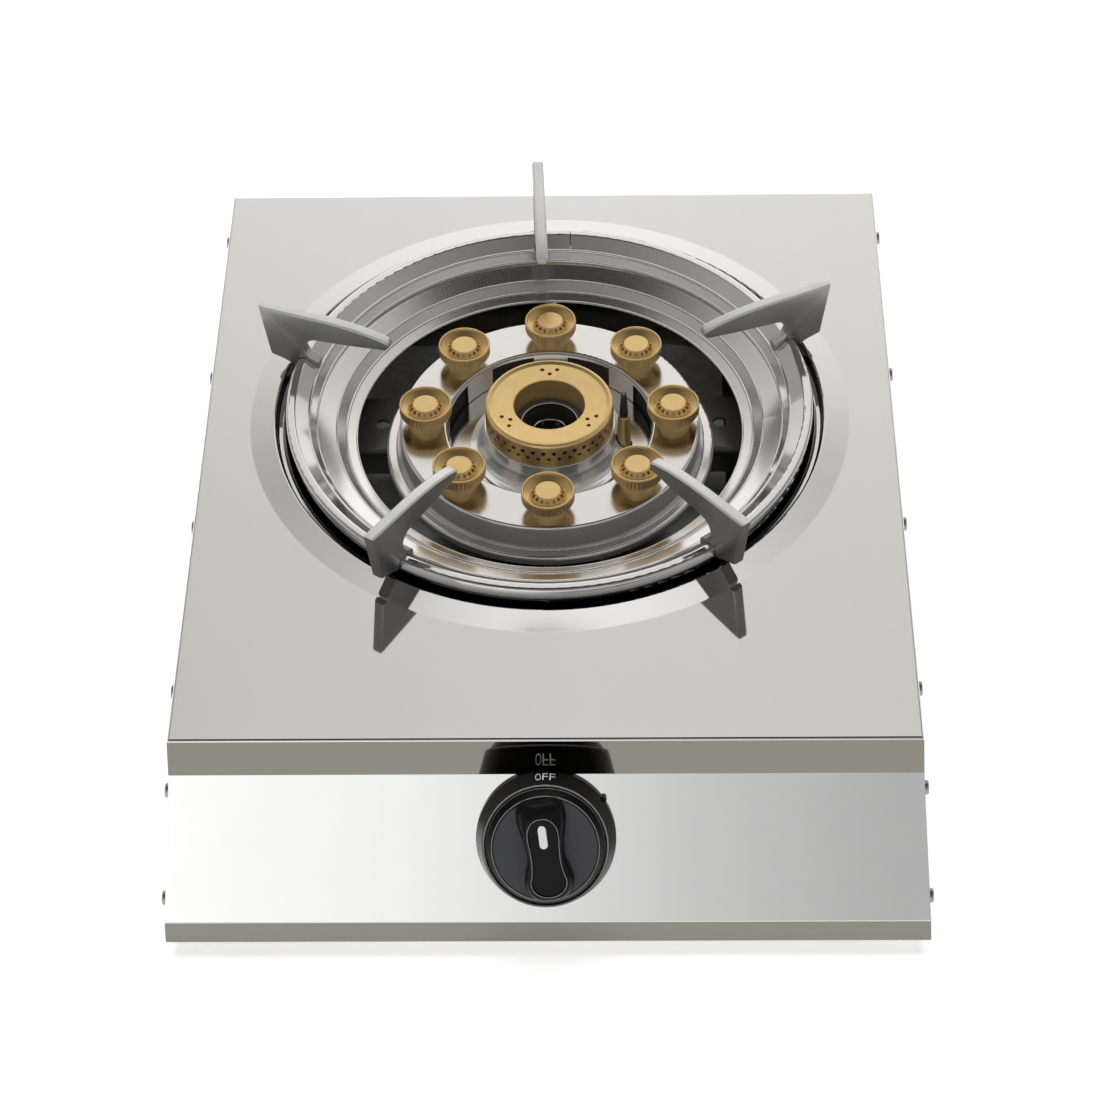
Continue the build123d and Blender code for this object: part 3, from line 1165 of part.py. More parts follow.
# Valve spindle, its thrust washer and the return spring
with BuildPart() as valve_spindle:
    with BuildSketch(knob_section):
        Polygon(
            (0, -valve_front - VALVE_LENGTH + CHAMBER_WALL + PUSH_TRAVEL + SEAT_GAP),
            (SPINDLE_RADIUS, -valve_front - VALVE_LENGTH + CHAMBER_WALL + PUSH_TRAVEL + SEAT_GAP),
            (SPINDLE_RADIUS, -WASHER_DEPTH),
            (SPINDLE_COLLAR_RADIUS, -WASHER_DEPTH),
            (SPINDLE_COLLAR_RADIUS, -WASHER_DEPTH + WASHER_THICKNESS),
            (SPINDLE_RADIUS, -WASHER_DEPTH + WASHER_THICKNESS),
            (SPINDLE_RADIUS, SPINDLE_TOP),
            (0, SPINDLE_TOP),
            align=None,
        )
    revolve(axis=knob_axis)
finish(valve_spindle, "valve_spindle")

with BuildPart() as spindle_washer:
    with BuildSketch(knob_plane.offset(-WASHER_DEPTH)):
        Circle(WASHER_RADIUS)
        Circle(SPINDLE_RADIUS + SPINDLE_PLAY, mode=Mode.SUBTRACT)
    extrude(amount=-WASHER_THICKNESS)
finish(spindle_washer, "spindle_washer")

spring_top = -WASHER_DEPTH - WASHER_THICKNESS - SPRING_WIRE / 2 - FIT
spring_low = -BRACKET_DEPTH + SPRING_WIRE / 2 + FIT
spring_plane = knob_plane.offset(spring_low)
with BuildPart() as valve_spring:
    with BuildLine():
        coil = Helix(
            pitch=(spring_top - spring_low) / SPRING_TURNS,
            height=spring_top - spring_low,
            radius=SPRING_RADIUS,
            center=spring_plane.origin,
            direction=knob_direction,
        )
    with BuildSketch(Plane(origin=coil @ 0, z_dir=coil % 0)):
        Circle(SPRING_WIRE / 2)
    sweep(is_frenet=True)
finish(valve_spring, "valve_spring")

# Knob bezel: conical ring on the front panel with a locating tab, cut back where the lip hangs over it
with BuildPart() as knob_bezel:
    with BuildSketch(knob_section):
        Polygon(
            (PANEL_HOLE_RADIUS, 0),
            (BEZEL_RADIUS, 0),
            (BEZEL_RADIUS, BEZEL_EDGE),
            (bezel_top_radius + BEZEL_BREAK, BEZEL_HEIGHT - 2 * BEZEL_BREAK),
            (bezel_top_radius - BEZEL_BREAK, BEZEL_HEIGHT),
            (bezel_bore, BEZEL_HEIGHT),
            (bezel_bore, BEZEL_FLOOR),
            (PANEL_HOLE_RADIUS, BEZEL_FLOOR),
            align=None,
        )
    revolve(axis=knob_axis)
    with BuildSketch(knob_plane):
        with PolarLocations(BEZEL_RADIUS, 1, start_angle=BEZEL_TAB_ANGLE):
            Circle(BEZEL_TAB_RADIUS)
    extrude(amount=BEZEL_EDGE)
    with Locations((0, front_y - SEAT_GAP, fold_z - SEAT_GAP)):
        Box(
            2 * BEZEL_RADIUS,
            BEZEL_RADIUS,
            BEZEL_RADIUS,
            align=(Align.CENTER, Align.MIN, Align.MIN),
            mode=Mode.SUBTRACT,
        )
finish(knob_bezel, "knob_bezel")

# Knob: hollow cap with an hourglass grip, and the white mark set in it
grip_plane = Plane(knob_plane.location * Location((0, 0, KNOB_FACE_HEIGHT), (0, 0, KNOB_REST_TURN)))
grip_side = Plane(origin=grip_plane.origin, x_dir=grip_plane.y_dir, z_dir=grip_plane.x_dir)


def grip_outline(inset):
    """Hourglass outline of the knob's grip, that far inside its foot."""
    end = grip_end - inset
    upper = GRIP_UPPER_WIDTH / 2 - inset
    waist = GRIP_WAIST_WIDTH / 2 - inset
    lower = GRIP_LOWER_WIDTH / 2 - inset
    with BuildLine() as outline:
        right = Spline(
            (upper, end - upper), (waist, GRIP_WAIST_UP), (lower, lower - end), tangents=((0, -1), (0, -1))
        )
        lower_end = ThreePointArc(right @ 1, (0, -end), (-lower, lower - end))
        left = Spline(
            lower_end @ 1, (-waist, GRIP_WAIST_UP), (-upper, end - upper), tangents=((0, 1), (0, 1))
        )
        ThreePointArc(left @ 1, (0, end), right @ 0)
    make_face(outline.edges())


with BuildPart() as knob:
    with BuildSketch(knob_section):
        Polygon(
            (SPINDLE_RADIUS + FIT, KNOB_SKIRT_LOW),
            (KNOB_HUB_RADIUS, KNOB_SKIRT_LOW),
            (KNOB_HUB_RADIUS, KNOB_FACE_HEIGHT - KNOB_WALL),
            (knob_face_radius - KNOB_WALL, KNOB_FACE_HEIGHT - KNOB_WALL),
            (knob_radius - KNOB_WALL, BEZEL_HEIGHT - KNOB_WALL),
            (knob_radius - KNOB_WALL, KNOB_SKIRT_LOW),
            (knob_radius, KNOB_SKIRT_LOW),
            (knob_radius, BEZEL_HEIGHT + KNOB_PROUD),
            (knob_face_radius, KNOB_FACE_HEIGHT),
            (0, KNOB_FACE_HEIGHT),
            (0, SPINDLE_TOP + FIT),
            (SPINDLE_RADIUS + FIT, SPINDLE_TOP + FIT),
            align=None,
        )
    revolve(axis=knob_axis)
    with BuildSketch(grip_plane):
        grip_outline(0)
    with BuildSketch(grip_plane.offset(GRIP_HEIGHT)):
        grip_outline(GRIP_DRAFT)
    loft(ruled=True)
    with BuildSketch(grip_side):
        Polygon(
            (GRIP_SLOPE_START, GRIP_HEIGHT),
            (grip_end, GRIP_HEIGHT - (grip_end - GRIP_SLOPE_START) * tan(radians(GRIP_SLOPE))),
            (grip_end, 2 * GRIP_HEIGHT),
            (GRIP_SLOPE_START, 2 * GRIP_HEIGHT),
            align=None,
        )
    extrude(amount=GRIP_UPPER_WIDTH, both=True, mode=Mode.SUBTRACT)
    with BuildSketch(grip_plane.offset(GRIP_HEIGHT - MARK_DEPTH)):
        with Locations((0, MARK_UP)):
            SlotOverall(MARK_LENGTH + 2 * FIT, MARK_WIDTH + 2 * FIT, rotation=90)
    extrude(amount=2 * MARK_DEPTH, mode=Mode.SUBTRACT)
finish(knob, "knob")

with BuildPart() as knob_mark:
    with BuildSketch(grip_plane.offset(GRIP_HEIGHT - MARK_DEPTH)):
        with Locations((0, MARK_UP)):
            SlotOverall(MARK_LENGTH, MARK_WIDTH, rotation=90)
    extrude(amount=MARK_DEPTH - FIT)
finish(knob_mark, "knob_mark")

# Piezo igniter lying across the top of the valve
piezo_plane = knob_plane.offset(-valve_front)
with BuildPart() as piezo_igniter:
    with BuildSketch(piezo_plane):
        with Locations((0, (VALVE_HEIGHT + PIEZO_SIZE) / 2)):
            Rectangle(PIEZO_LENGTH, PIEZO_SIZE)
    extrude(amount=-PIEZO_SIZE)
    fillet(piezo_igniter.edges().filter_by(Axis.X), radius=PIEZO_SIZE / 8)
finish(piezo_igniter, "piezo_igniter")

# Ignition lead: from the piezo back over the tube stand and up into the insulator
piezo_centre = piezo_plane.from_local_coords((0, (VALVE_HEIGHT + PIEZO_SIZE) / 2, -PIEZO_SIZE / 2))
with BuildPart() as ignition_lead:
    with BuildLine():
        lead = FilletPolyline(
            (PIEZO_LENGTH / 2, piezo_centre.Y, lead_z),
            (igniter_radius, piezo_centre.Y, lead_z),
            (igniter_radius, burner_y, lead_z),
            (igniter_radius, burner_y, igniter_rod_low),
            radius=(LEAD_BEND, LEAD_END_BEND),
        )
    with BuildSketch(Plane(origin=lead @ 0, z_dir=lead % 0)):
        Circle(LEAD_RADIUS)
    sweep()
finish(ignition_lead, "ignition_lead")

# Gas pipe from the inlet at the back to the valve
pipe_start_x = -VALVE_WIDTH / 2 - INLET_BOSS_LENGTH + PIPE_SOCKET
fitting_front = rear_face - SHEET - NUT_LENGTH - PIPE_SOCKET
with BuildPart() as gas_pipe:
    with BuildLine():
        route = FilletPolyline(
            (pipe_start_x, valve_y, valve_z),
            (-INLET_OFFSET, valve_y, valve_z),
            (-INLET_OFFSET, fitting_front + PIPE_SOCKET, valve_z),
            radius=PIPE_BEND,
        )
    with BuildSketch(Plane(origin=route @ 0, z_dir=route % 0)):
        Circle(PIPE_RADIUS)
        Circle(PIPE_BORE, mode=Mode.SUBTRACT)
    sweep()
finish(gas_pipe, "gas_pipe")

# Inlet fitting: shank through the rear panel, hexagon outside it and a grooved hose tail
inlet_plane = Plane(origin=(-INLET_OFFSET, rear_face, valve_z), x_dir=(-1, 0, 0), z_dir=(0, 1, 0))
tail_start = INLET_HEX_LENGTH
tail_end = rear_y + INLET_REACH - rear_face
land_step = (tail_end - tail_start - TAIL_LAND) / (TAIL_LANDS - 1)
with BuildPart() as inlet_fitting:
    with BuildSketch(inlet_plane.offset(fitting_front - rear_face)):
        Circle(INLET_SHANK_RADIUS)
    extrude(amount=rear_face - fitting_front)
    with BuildSketch(inlet_plane):
        hexagon(INLET_HEX)
    extrude(amount=INLET_HEX_LENGTH)
    with BuildSketch(inlet_plane.offset(tail_start)):
        Circle(TAIL_GROOVE)
    extrude(amount=tail_end - tail_start)
    for number in range(TAIL_LANDS):
        with BuildSketch(inlet_plane.offset(tail_start + land_step * number)):
            Circle(TAIL_RADIUS)
        extrude(amount=TAIL_LAND)
    with BuildSketch(inlet_plane.offset(fitting_front - rear_face)):
        Circle(TAIL_BORE)
    extrude(amount=tail_end - fitting_front + rear_face, mode=Mode.SUBTRACT)
    with BuildSketch(inlet_plane.offset(fitting_front - rear_face)):
        Circle(PIPE_RADIUS + FIT)
    extrude(amount=PIPE_SOCKET, mode=Mode.SUBTRACT)
finish(inlet_fitting, "inlet_fitting")

with BuildPart() as inlet_nut:
    with BuildSketch(inlet_plane.offset(-SHEET)):
        hexagon(INLET_HEX)
        Circle(INLET_SHANK_RADIUS + FIT, mode=Mode.SUBTRACT)
    extrude(amount=-NUT_LENGTH)
finish(inlet_nut, "inlet_nut")
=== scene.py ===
"""Looks of a table-top gas stove with one burner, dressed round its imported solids.

Laid out as an add-on: an operator for each piece or group of like pieces, one for the stage, and a panel.
Lengths are metres in the solids' own frame: +Z up, the front facing -Y, the origin on the floor.
"""

import json
import math

import bpy
from mathutils import Matrix, Vector

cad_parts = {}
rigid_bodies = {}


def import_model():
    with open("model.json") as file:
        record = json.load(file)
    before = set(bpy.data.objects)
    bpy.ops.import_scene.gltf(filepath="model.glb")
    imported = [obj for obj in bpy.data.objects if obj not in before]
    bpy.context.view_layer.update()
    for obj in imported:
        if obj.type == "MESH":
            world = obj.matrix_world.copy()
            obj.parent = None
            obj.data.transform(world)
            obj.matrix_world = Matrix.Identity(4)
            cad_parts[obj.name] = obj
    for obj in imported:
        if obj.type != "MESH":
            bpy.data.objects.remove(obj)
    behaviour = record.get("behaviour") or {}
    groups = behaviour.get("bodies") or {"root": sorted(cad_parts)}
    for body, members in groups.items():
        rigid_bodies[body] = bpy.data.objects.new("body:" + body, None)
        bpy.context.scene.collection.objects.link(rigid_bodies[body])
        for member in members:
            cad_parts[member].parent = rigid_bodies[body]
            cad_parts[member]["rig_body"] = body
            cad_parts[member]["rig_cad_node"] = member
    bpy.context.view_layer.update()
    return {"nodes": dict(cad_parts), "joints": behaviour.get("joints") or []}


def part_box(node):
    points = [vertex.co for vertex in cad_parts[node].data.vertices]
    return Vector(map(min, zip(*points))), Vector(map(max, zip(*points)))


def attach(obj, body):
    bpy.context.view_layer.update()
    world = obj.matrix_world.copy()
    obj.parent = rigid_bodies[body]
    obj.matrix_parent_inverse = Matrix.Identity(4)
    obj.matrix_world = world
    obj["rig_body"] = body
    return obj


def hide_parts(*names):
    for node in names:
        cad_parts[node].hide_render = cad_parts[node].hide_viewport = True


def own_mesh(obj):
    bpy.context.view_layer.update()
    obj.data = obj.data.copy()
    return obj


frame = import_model()

bl_info = {
    "name": "Single burner gas stove",
    "version": (1, 0, 0),
    "blender": (4, 5, 0),
    "location": "3D View > Sidebar > Stove",
    "description": "Dresses the packed solids of a table-top gas stove and sets its stage",
    "category": "Object",
}

MM = 0.001
WHITE = (1.0, 1.0, 1.0, 1.0)
COOL_WHITE = (0.945, 0.965, 1.0, 1.0)
MERGE = 0.001 * MM
FLAT_ANGLE = math.radians(1.0)
SMOOTH_ANGLE = math.radians(35.0)
SHARP_ANGLE = math.radians(30.0)
EDGE_STEPS = 3
BEAD_SIDES, BEAD_STEPS = 12, 160
ROUND_SIDES = 128
OUTLINE_STEPS = 10

# Strip behind the front lip where the top panel is flat
FRONT_STRIP = 20.0 * MM

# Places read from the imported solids
nodes = frame["nodes"]
joints = {joint["name"]: joint for joint in frame["joints"]}
body_of_node = {name: node["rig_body"] for name, node in nodes.items()}
lip_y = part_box("top_panel")[0].y
panel = nodes["top_panel"].data.vertices
top_z = max(vertex.co.z for vertex in panel if vertex.co.y < lip_y + FRONT_STRIP)
cover_low, cover_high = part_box("burner_cover")
burner_y = (cover_low.y + cover_high.y) / 2
burner_place = Matrix.Translation((0.0, burner_y, 0.0))


def place_on(centre, outward):
    """Matrix of a round part's own frame: x to the right, z out along its axis."""
    right = Vector((1.0, 0.0, 0.0))
    turned = Matrix((right, outward.cross(right), outward)).transposed().to_4x4()
    return Matrix.Translation(centre) @ turned


knob_place = place_on(Vector(joints["knob_turn"]["pos_m"]), Vector(joints["knob_turn"]["axis"]))


def own_points(name, place):
    """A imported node's vertices in a round part's own frame."""
    inverse = place.inverted()
    return [inverse @ vertex.co for vertex in nodes[name].data.vertices]


def rim(name, inner, outer):
    """Height of a node's highest edge between two radii round the burner's axis."""
    points = own_points(name, burner_place)
    return max(point.z for point in points if inner <= point.xy.length <= outer)


def inner_radius(name):
    """Radius of a node's innermost edge round the burner's axis."""
    return min(point.xy.length for point in own_points(name, burner_place))


bezel_points = own_points("knob_bezel", knob_place)
knob_points = own_points("knob", knob_place)
bezel_height = max(point.z for point in bezel_points)
bezel_radius = max(point.x for point in bezel_points)
knob_radius = max(point.x for point in knob_points)
knob_low = min(point.z for point in knob_points)
knob_high = max(point.z for point in knob_points)


def nodes_named(start):
    """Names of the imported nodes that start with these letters, in order."""
    return sorted(name for name in nodes if name.startswith(start))


class Value:
    """A shader socket: sums, products and comparisons of values add their Math nodes."""

    def __init__(self, finish, socket):
        self.finish = finish
        self.socket = socket

    def maths(self, operation, left, right=0.0):
        """Adds one Math node and gives its result."""
        return self.finish.node("Math", {"operation": operation}, {0: left, 1: right})

    def __add__(self, other):
        return self.maths("ADD", self, other)

    def __sub__(self, other):
        return self.maths("SUBTRACT", self, other)

    def __rsub__(self, other):
        return self.maths("SUBTRACT", other, self)

    def __mul__(self, other):
        return self.maths("MULTIPLY", self, other)

    def __pow__(self, other):
        return self.maths("POWER", self, other)

    def __gt__(self, other):
        return self.maths("GREATER_THAN", self, other)

    def __lt__(self, other):
        return self.maths("LESS_THAN", self, other)

    def __abs__(self):
        return self.maths("ABSOLUTE", self)

    __radd__ = __add__
    __rmul__ = __mul__


class Finish:
    """A procedural material, grown node by node."""

    def __init__(self, name, tree=None):
        self.material = None
        if tree is None:
            self.material = bpy.data.materials.new(name)
            self.material.use_nodes = True
            tree = self.material.node_tree
        tree.nodes.clear()
        self.tree = tree

    def node(self, kind, settings=None, sockets=None, output=0):
        """Adds a node of this type, with its settings set first, and gives one of its outputs as a value."""
        made = self.tree.nodes.new("ShaderNode" + kind)
        for key, setting in (settings or {}).items():
            if key == "stops":
                ramp = made.color_ramp
                while len(ramp.elements) < len(setting):
                    ramp.elements.new(0.5)
                for element, (place, level) in zip(ramp.elements, setting):
                    element.position = place
                    element.color = (level, level, level, 1.0)
            else:
                setattr(made, key, setting)
        for key, value in (sockets or {}).items():
            if isinstance(value, Value):
                self.tree.links.new(value.socket, made.inputs[key])
            else:
                made.inputs[key].default_value = value
        return Value(self, made.outputs[output]) if made.outputs else None

    def place(self):
        """Place on the object, in metres of the solids' frame."""
        return self.node("TexCoord", output="Object")

    def split(self, vector):
        """The x, y and z of a vector as three values."""
        parts = self.node("SeparateXYZ", sockets={0: vector})
        return [Value(self, output) for output in parts.socket.node.outputs]

    def noise(self, scale, detail=2.0, stretch=None):
        """Soft random value from 0 to 1, with this many waves a metre, stretched along the axes if asked."""
        place = self.place()
        if stretch:
            place = self.node("Mapping", sockets={"Vector": place, "Scale": stretch})
        sockets = {"Vector": place, "Scale": scale, "Detail": detail}
        return self.node("TexNoise", sockets=sockets, output="Fac")

    def normal(self):
        """The way a surface faces, as three values: to the right, to the back and up."""
        return self.split(self.node("NewGeometry", output="Normal"))

    def radius(self):
        """Distance from the burner's axis."""
        x, y = self.split(self.place())[:2]
        return (x * x + (y - burner_y) * (y - burner_y)) ** 0.5

    def outward(self):
        """1 where the surface faces straight away from the burner's axis, 0 where it faces up."""
        x, y = self.split(self.place())[:2]
        across, facing = self.normal()[:2]
        return (across * x + facing * (y - burner_y)) * self.radius() ** -1.0

    def rings(self, scale):
        """Fine random rings round the burner's axis."""
        sockets = {"W": self.radius(), "Scale": scale}
        return self.node("TexNoise", {"noise_dimensions": "1D"}, sockets, "Fac")

    def profile(self, value, stops, most=1.0):
        """Level read off a line through (place, level) stops, whose levels are at most this much."""
        low, high = stops[0][0], stops[-1][0]
        share = self.node("MapRange", sockets={"Value": value, "From Min": low, "From Max": high})
        scaled = [((place - low) / (high - low), level / most) for place, level in stops]
        return self.node("ValToRGB", {"stops": scaled}, {"Fac": share}) * most

    def seen(self):
        """1 for what the eye, a mirror or glass sees, 0 for what lights the object."""
        path = self.node("LightPath", output="Is Camera Ray").socket.node.outputs
        rays = [Value(self, path[name]) for name in ("Is Camera Ray", "Is Glossy Ray", "Is Transmission Ray")]
        first = rays[0].maths("MAXIMUM", rays[0], rays[1])
        return first.maths("MAXIMUM", first, rays[2])

    def blend(self, share, first, second):
        """Colour between two colours."""
        return self.node("Mix", {"data_type": "RGBA"}, {0: share, 6: first, 7: second}, output=2)

    def bump(self, height, strength, distance):
        """Normal bent by a height."""
        sockets = {"Height": height, "Strength": strength, "Distance": distance}
        return self.node("Bump", sockets=sockets)

    def surface(self, **sockets):
        """Closes the material with one Principled shader and gives the material."""
        named = {}
        for key, value in sockets.items():
            named[key.replace("_", " ").title().replace("Ior", "IOR")] = value
        shader = self.node("BsdfPrincipled", sockets=named)
        self.node("OutputMaterial", sockets={"Surface": shader})
        return self.material


def colour(red, green, blue):
    """An opaque colour."""
    return (red, green, blue, 1.0)


def darker(tone, share):
    """A colour at this share of its brightness."""
    return (tone[0] * share, tone[1] * share, tone[2] * share, 1.0)


# How squarely a sheet faces the front or a side where it counts as a lip or a side, and takes a darker colour
# painted on as the reflection of a shaded floor
LIP_FACING, SIDE_FACING = -0.97, 0.9


def polished_steel(colours):
    """Mirror-polished stainless sheet, with darker colour on the folded front lips and the sides as a painted
    reflection of a shaded floor.
    """
    finish = Finish("polished_steel")
    steel = tuple(colours.steel)
    across, facing = finish.normal()[:2]
    # Painted reflection: masks of the front lips and the sides, which take darker colours standing in for a
    # shaded floor they mirror
    painted_lip_reflection = facing < LIP_FACING
    side = abs(across) > SIDE_FACING
    streaks = finish.noise(scale=70.0, detail=3.0, stretch=(1.0, 0.05, 1.0))
    haze = finish.noise(scale=14.0, detail=2.0)
    body = finish.blend(streaks * 0.35, steel, darker(steel, 0.92))
    # Painted reflection: darker lip and side colours blended over the steel
    tint = finish.blend(painted_lip_reflection, body, tuple(colours.painted_lip_reflection))
    tint = finish.blend(side, tint, tuple(colours.side))
    ripple = finish.noise(scale=26.0, detail=1.0)
    return finish.surface(
        base_color=tint,
        metallic=1.0,
        roughness=haze * 0.03 + 0.035 + side * 0.16,
        normal=finish.bump(ripple, strength=0.02, distance=0.0006),
    )


def pressed_steel(name, steel, roughness, metallic=1.0):
    """Bright stainless pressing with faint rings left by its tool."""
    finish = Finish(name)
    rings = finish.rings(scale=900.0)
    smear = finish.noise(scale=30.0, detail=3.0)
    return finish.surface(
        base_color=finish.blend(smear * 0.4, steel, darker(steel, 0.85)),
        metallic=metallic,
        roughness=smear * 0.04 + rings * 0.03 + roughness,
        normal=finish.bump(rings, strength=0.03, distance=0.0002),
    )


def ring_steel(colours):
    """Bright stainless of the pan support ring, with painted shade down its outer wall, darkest towards its
    foot, and painted shade that makes its inner slope less metallic and duller.
    """
    finish = Finish("ring_steel")
    steel = tuple(colours.ring)
    z = finish.split(finish.place())[2]
    outward = finish.outward()
    # Painted shade: the outward wall darkens almost to black towards its foot, fading out by 8 mm over the
    # top panel, and the inward slope loses some metallic
    wall = finish.profile(outward, ((0.55, 0.0), (0.8, 1.0)))
    slope = finish.profile(outward, ((-0.9, 1.0), (-0.4, 0.0)))
    stops = ((2.0 * MM, 1.0), (4.0 * MM, 0.8), (6.5 * MM, 0.4), (8.0 * MM, 0.0))
    shade = finish.profile(z - top_z, stops)
    smear = finish.noise(scale=30.0, detail=3.0)
    body = finish.blend(smear * 0.3, steel, darker(steel, 0.88))
    return finish.surface(
        base_color=finish.blend(wall * shade, body, darker(steel, 0.04)),
        metallic=1.0 - slope * 0.3,
        roughness=smear * 0.04 + 0.06,
    )


def spun_steel(colours):
    """Bright stainless spun in rings round the burner's axis, duller on its upright walls."""
    finish = Finish("burner_steel")
    steel = tuple(colours.burner)
    wall = finish.profile(finish.outward(), ((0.5, 0.0), (0.8, 1.0)))
    rings = finish.rings(scale=1400.0)
    heat = finish.noise(scale=45.0, detail=4.0)
    return finish.surface(
        base_color=finish.blend(heat * 0.4, steel, darker(steel, 0.82)),
        metallic=1.0 - wall * 0.45,
        roughness=rings * 0.06 + heat * 0.04 + 0.11,
        anisotropic=0.6,
        normal=finish.bump(rings, strength=0.05, distance=0.0002),
    )


def turned_brass(colours):
    """Turned brass, a little duller where it is handled."""
    finish = Finish("brass")
    brass = tuple(colours.brass)
    up = finish.normal()[2]
    dull = finish.noise(scale=220.0, detail=4.0)
    grain = finish.noise(scale=2600.0, detail=2.0)
    return finish.surface(
        base_color=finish.blend(dull * 0.5, brass, darker(brass, 0.76)),
        metallic=abs(up) * 0.3 + 0.7,
        roughness=dull * 0.10 + grain * 0.05 + 0.26,
        normal=finish.bump(grain, strength=0.06, distance=0.0001),
    )


def claw_metal(colours):
    """Silver-grey coated casting with a fine grain, and painted shade darkening it down its sides."""
    finish = Finish("claw_metal")
    up = finish.normal()[2]
    # Painted shade: faces that turn from up towards the sides fall to under half the claws' colour
    level = finish.profile(up, ((0.2, 0.0), (0.75, 1.0)))
    grey = finish.blend(level, darker(tuple(colours.claw), 0.45), tuple(colours.claw))
    grain = finish.noise(scale=1800.0, detail=3.0)
    cloud = finish.noise(scale=90.0, detail=3.0)
    return finish.surface(
        base_color=finish.blend(cloud * 0.3, grey, darker(tuple(colours.claw), 0.4)),
        metallic=0.75,
        roughness=cloud * 0.08 + grain * 0.06 + 0.30,
        normal=finish.bump(grain, strength=0.12, distance=0.0002),
    )


def plated_sheet(name, tone, roughness, metallic=0.95):
    """Plated metal with the faint crystals of its plating."""
    finish = Finish(name)
    sockets = {"Vector": finish.place(), "Scale": 160.0, "Randomness": 1.0}
    cells = finish.node("TexVoronoi", sockets=sockets, output="Distance")
    smear = finish.noise(scale=60.0, detail=3.0)
    return finish.surface(
        base_color=finish.blend(cells * 0.7 + smear * 0.3, tone, darker(tone, 0.75)),
        metallic=metallic,
        roughness=smear * 0.12 + cells * 0.05 + roughness,
        normal=finish.bump(smear, strength=0.05, distance=0.0003),
    )


def rough_casting(name, tone, metallic, roughness):
    """Cast surface with a sandy grain."""
    finish = Finish(name)
    sand = finish.noise(scale=900.0, detail=4.0)
    cloud = finish.noise(scale=60.0, detail=3.0)
    return finish.surface(
        base_color=finish.blend(cloud * 0.6, tone, darker(tone, 0.6)),
        metallic=metallic,
        roughness=sand * 0.15 + roughness,
        normal=finish.bump(sand, strength=0.35, distance=0.0004),
    )


def moulded(name, tone, roughness, grain_scale=2200.0, coat=0.0, specular=0.5):
    """Moulded plastic, rubber or glazed ceramic with a fine grain."""
    finish = Finish(name)
    grain = finish.noise(scale=grain_scale, detail=2.0)
    handling = finish.noise(scale=80.0, detail=3.0)
    return finish.surface(
        base_color=finish.blend(handling * 0.5, tone, darker(tone, 0.8)),
        roughness=handling * 0.08 + grain * 0.05 + roughness,
        coat_weight=coat,
        specular_ior_level=specular,
        normal=finish.bump(grain, strength=0.06, distance=0.0001),
    )


def all_finishes(colours):
    """Every finish of the stove, by the record's slot name, and the few that dress part of a slot."""
    return {
        "polished_steel": polished_steel(colours),
        "tray_steel": pressed_steel("tray_steel", tuple(colours.tray), 0.15),
        "ring_steel": ring_steel(colours),
        "claw_metal": claw_metal(colours),
        "burner_steel": spun_steel(colours),
        "post_chrome": pressed_steel("post_chrome", tuple(colours.post), 0.12, 0.6),
        "black_enamel": moulded("black_enamel", colour(0.045, 0.042, 0.038), 0.16),
        "brass": turned_brass(colours),
        "cast_iron": rough_casting("cast_iron", colour(0.05, 0.05, 0.05), 0.3, 0.6),
        "zinc_steel": plated_sheet("zinc_steel", colour(0.42, 0.42, 0.41), 0.34),
        "pale_sheet": plated_sheet("pale_sheet", tuple(colours.shield), 0.36, 0.0),
        "screw_steel": plated_sheet("screw_steel", colour(0.40, 0.39, 0.38), 0.24),
        "spring_steel": plated_sheet("spring_steel", colour(0.35, 0.35, 0.35), 0.3),
        "cast_aluminium": rough_casting("cast_aluminium", colour(0.55, 0.55, 0.55), 0.95, 0.35),
        "dark_metal": rough_casting("dark_metal", colour(0.07, 0.06, 0.06), 0.6, 0.4),
        "white_ceramic": moulded("white_ceramic", colour(0.85, 0.84, 0.80), 0.2, coat=0.5),
        "black_plastic": moulded("black_plastic", tuple(colours.plastic), 0.14, specular=0.13),
        # Lighter grey on the rounded edges of the knob and bezel, a painted highlight
        "painted_edge_highlight": moulded("painted_edge_highlight", tuple(colours.edge), 0.3),
        "knob_grey": moulded("knob_grey", tuple(colours.face), 0.36),
        "grey_plastic": moulded("grey_plastic", colour(0.30, 0.30, 0.31), 0.4),
        "white_plastic": moulded("white_plastic", tuple(colours.mark), 0.3),
        "black_rubber": moulded("black_rubber", colour(0.02, 0.02, 0.02), 0.6, 700.0),
        "lead_silicone": moulded("lead_silicone", colour(0.035, 0.03, 0.03), 0.45),
    }


def tone_property(name, description, red, green, blue):
    """A colour that a user may change."""
    return bpy.props.FloatVectorProperty(
        name=name,
        description=description,
        subtype="COLOR",
        size=4,
        min=0.0,
        max=1.0,
        default=colour(red, green, blue),
    )


def length_property(name, description, millimetres):
    """A length that a user may change."""
    return bpy.props.FloatProperty(
        name=name, description=description, unit="LENGTH", default=millimetres * MM
    )


def angle_property(name, description, degrees):
    """An angle that a user may change."""
    return bpy.props.FloatProperty(
        name=name, description=description, subtype="ANGLE", default=math.radians(degrees)
    )


